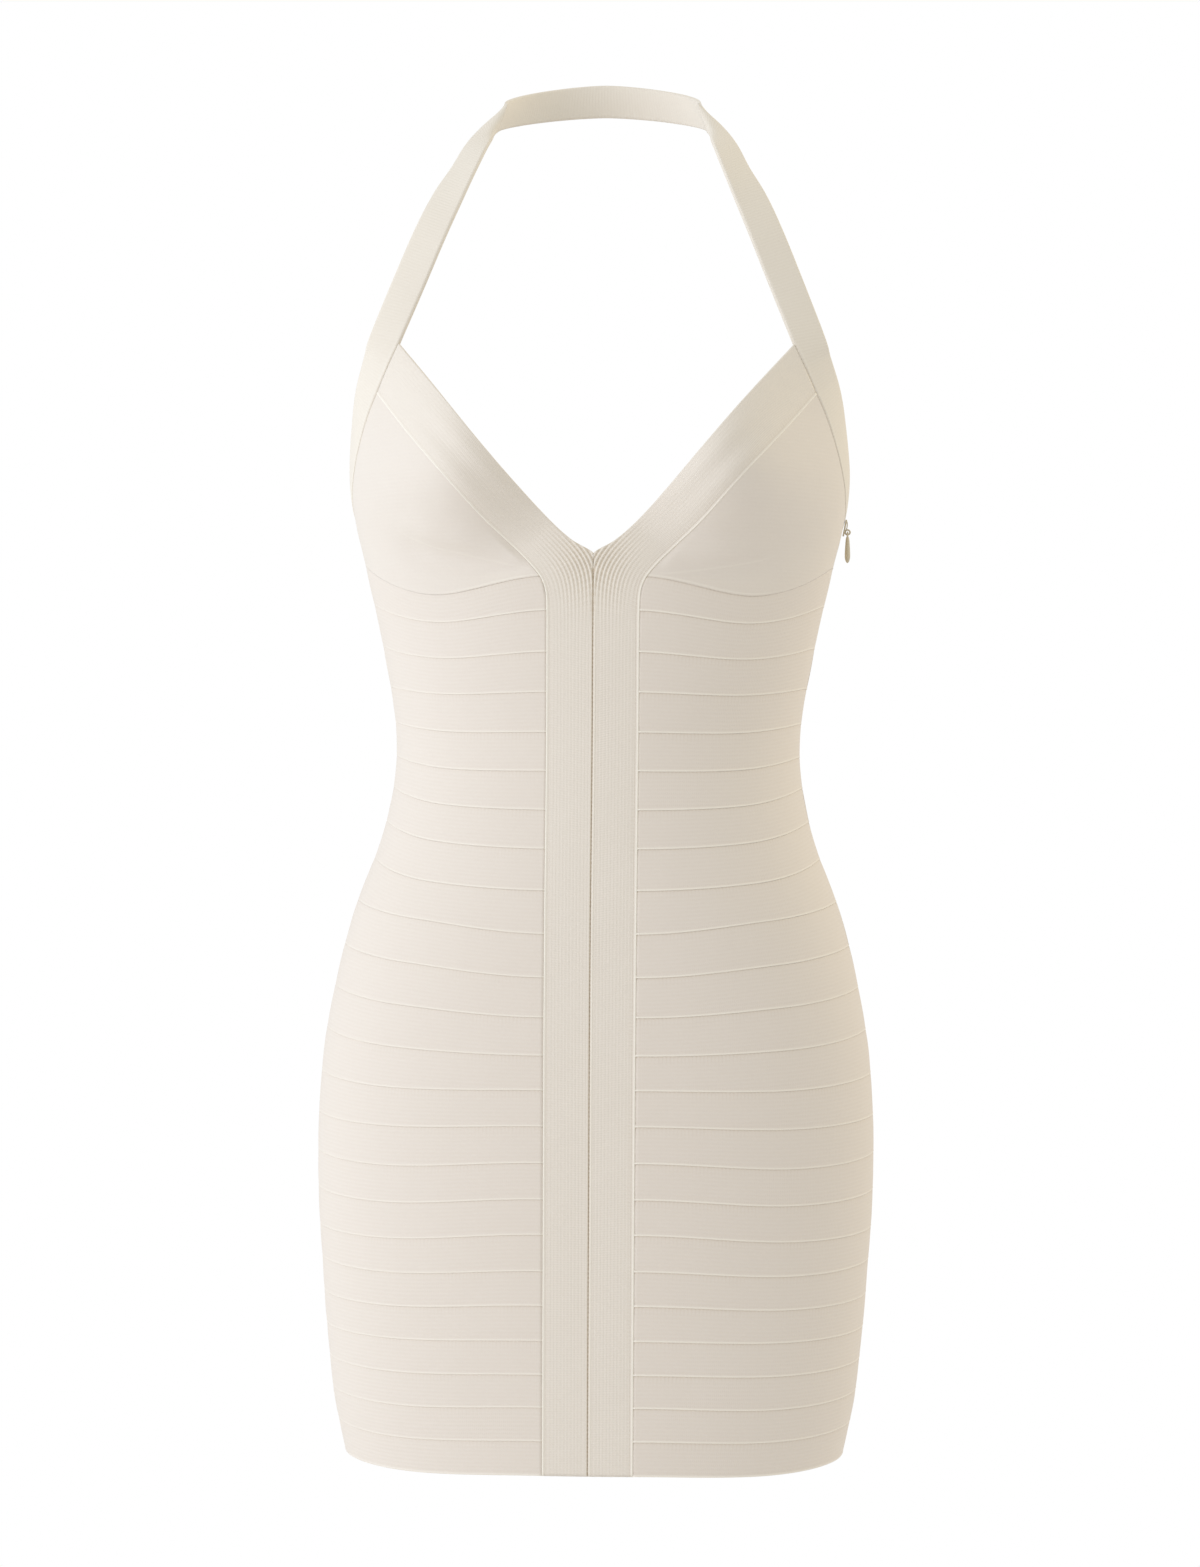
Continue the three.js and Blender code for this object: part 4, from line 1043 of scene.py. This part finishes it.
def buildPull(material):
    seat, turned = zipSeat()
    hinge = seat + turned @ np.array([slider["bridgeOut"], 0, -slider["bridgeDown"]])
    y, z = roundedSection(pull["loopHalf"], pull["loopHeight"] / 2, pull["loopSquare"], pull["loopSteps"])
    loopPath = joined(0 * y, y, z - pull["loopHeight"] / 2)
    loop = sweepInPlane(loopPath, *pull["barHalf"], True, (1, 0, 0))
    leafRings = []
    for z, half in zip(pull["leafZ"], pull["leafHalf"]):
        x, y = roundedSection(half * pull["flatness"], half, pull["ridge"], pull["leafSteps"])
        leafRings.append(joined(x, y, 0 * x + z))
    for name, rings, looped in (("eye", loop, True), ("leaf", np.array(leafRings), False)):
        mesh = ringSolid("zip_pull_" + name, rings + hinge, looped)
        addPiece("zip_pull_" + name, mesh, "pull", material, "zip_enamel", "zip_pull")


def chainSpots(across, z):
    half = curve(form["z"], form["half"], z)
    angle = 90 + np.degrees(across / half)
    points, normals = onForm(angle, z)
    return points - normals * (cloth["thickness"] + chain["behind"]), normals


def buildTape():
    z = np.linspace(chain["top"], chain["bottom"], chain["rows"])[:, None]
    across = np.linspace(-chain["tapeHalf"], chain["tapeHalf"], chain["columns"])[None, :]
    spots = chainSpots(across, z)
    flat = 0 * (z + across)
    layout = joined(z + flat, across + flat)
    marks = {"seam": flat, "weltHighlight": flat, "rungs": flat}
    mesh = shellMesh("zip_tape", spots, flat, layout, marks, thickness=chain["tapeThickness"])
    tape = addPiece("zip_tape", mesh, "dress", knits["plain"][0], "knit")
    declareCut(spots)


def buildTeeth(material):
    halfWide, halfDeep, halfHigh = (size / 2 for size in chain["tooth"])
    corners = np.array([(x, y, t) for x in (-1, 1) for y in (-1, 1) for t in (-1, 1)], float)
    sides = [(0, 1, 3, 2), (4, 6, 7, 5), (0, 4, 5, 1), (2, 3, 7, 6), (0, 2, 6, 4), (1, 5, 7, 3)]
    places, faces = [], []
    for i in range(int((chain["top"] - chain["bottom"]) / chain["toothPitch"])):
        height = np.array([[chain["top"] - chain["firstTooth"] - i * chain["toothPitch"]]])
        lean = chain["toothLean"] if i % 2 else -chain["toothLean"]
        points, normals = chainSpots(np.array([[lean]]), height)
        middle = points[0, 0] - normals[0, 0] * (chain["tapeThickness"] + halfWide)
        box = middle + corners * [halfWide, halfDeep, halfHigh] - [0, nape["y"], nape["z"]]
        faces += [tuple(len(places) + k for k in side) for side in sides]
        places += (box * mm).tolist()
    mesh = bpy.data.meshes.new("zip_teeth")
    mesh.from_pydata(places, [], faces)
    addPiece("zip_teeth", mesh, "dress", material, "zip_enamel")


buildBands()
print("centre bands done")
buildStrips()
print("strips done")
buildCups()
print("cups done")
buildHalter()
print("halter done")
buildBack()
print("back done")
enamel = enamelMaterial()
buildSlider(enamel)
buildPull(enamel)
buildTape()
buildTeeth(enamel)
print("zip done")

# Stage, light and camera
stage = {
    "floorZ": -1.45, "floorSize": 3.6, "sockets": {"Base Color": (0.93, 0.93, 0.925, 1), "Roughness": 0.9},
}


def buildFloor():
    half = stage["floorSize"] / 2
    corners = [(-half, -half, 0), (half, -half, 0), (half, half, 0), (-half, half, 0)]
    mesh = bpy.data.meshes.new("studio_floor")
    mesh.from_pydata([(x, y, stage["floorZ"]) for x, y, z in corners], [], [(0, 1, 2, 3)])
    floor = addObject("studio_floor", mesh)
    material, tree, shader = newMaterial("pale_floor")
    setInputs(shader, stage["sockets"])
    mesh.materials.append(material)


# Each lamp is a soft disc, turned round from the front (positive towards the wearer's left) and lifted
lights = {
    "window": {"turn": -60, "lift": 13, "watts": 22, "colour": (0.86, 0.88, 1.0)},
    "leftSide": {"turn": -85, "lift": 15, "watts": 9.8, "colour": (0.72, 0.91, 1.0)},
    "warmReturn": {"turn": 115, "lift": 32, "watts": 15.5, "colour": (1.0, 0.82, 0.5)},
    "rightTop": {"turn": 40, "lift": 50, "watts": 4.8, "colour": (0.9, 1.0, 0.8)},
}
lamp = {"reach": 2.4, "size": 1.6, "aim": (0, -0.06, -0.42)}
world = {"shown": {0: (1, 1, 1, 1), 1: 1.0}, "lit": {0: (1.0, 0.975, 0.968, 1), 1: 0.66}}


def buildLights():
    aim = Vector(lamp["aim"])
    for name, light in lights.items():
        data = bpy.data.lights.new(name, "AREA")
        data.shape = "DISK"
        data.size = lamp["size"]
        data.energy = light["watts"]
        data.color = light["colour"]
        turn, lift = math.radians(light["turn"]), math.radians(light["lift"])
        away = Vector((math.sin(turn) * math.cos(lift), -math.cos(turn) * math.cos(lift), math.sin(lift)))
        source = addObject(name, data)
        source.location = aim + away * lamp["reach"]
        source.rotation_euler = away.to_track_quat("Z", "Y").to_euler()


def buildWorld():
    scene = bpy.context.scene
    scene.world = bpy.data.worlds.new("studio")
    scene.world.use_nodes = True
    tree = scene.world.node_tree
    tree.nodes.clear()
    path = tree.nodes.new("ShaderNodeLightPath")
    both = tree.nodes.new("ShaderNodeMixShader")
    tree.links.new(path.outputs["Is Camera Ray"], both.inputs[0])
    for i, seen in enumerate(("lit", "shown")):
        background = tree.nodes.new("ShaderNodeBackground")
        setInputs(background, world[seen])
        tree.links.new(background.outputs[0], both.inputs[i + 1])
    output = tree.nodes.new("ShaderNodeOutputWorld")
    tree.links.new(both.outputs[0], output.inputs[0])
    scene.view_settings.view_transform = "Standard"


# The camera stands level, a little towards the wearer's left, as the photograph's did
camera = {
    "distance": 2400, "turn": 2.3, "height": -418, "roll": 0.35, "scale": 0.6, "imageHeight": 1567,
    "shift": 2, "sensor": 36, "farEnd": 50,
}


def buildCamera():
    turn = math.radians(camera["turn"])
    roll = math.radians(camera["roll"])
    right = Vector((math.cos(turn), math.sin(turn), 0))
    up = Vector((0, 0, 1))
    place = Vector((math.sin(turn), -math.cos(turn), 0)) * camera["distance"]
    place = (place + Vector((0, -nape["y"], camera["height"] - nape["z"]))) * mm
    rolledRight = right * math.cos(roll) + up * math.sin(roll)
    rolledUp = up * math.cos(roll) - right * math.sin(roll)
    facing = rolledRight.cross(rolledUp)
    data = bpy.data.cameras.new("camera")
    data.sensor_fit = "VERTICAL"
    data.sensor_height = camera["sensor"]
    data.lens = camera["sensor"] * camera["distance"] / camera["scale"] / camera["imageHeight"]
    data.shift_x = camera["shift"] / camera["imageHeight"]
    data.clip_end = camera["farEnd"]
    lens = addObject("camera", data)
    axes = (rolledRight, rolledUp, facing, place)
    lens.matrix_world = Matrix([[axis[i] for axis in axes] for i in range(3)] + [[0, 0, 0, 1]])
    bpy.context.scene.camera = lens


buildFloor()
buildLights()
buildWorld()
buildCamera()
print("stage, light and camera done")
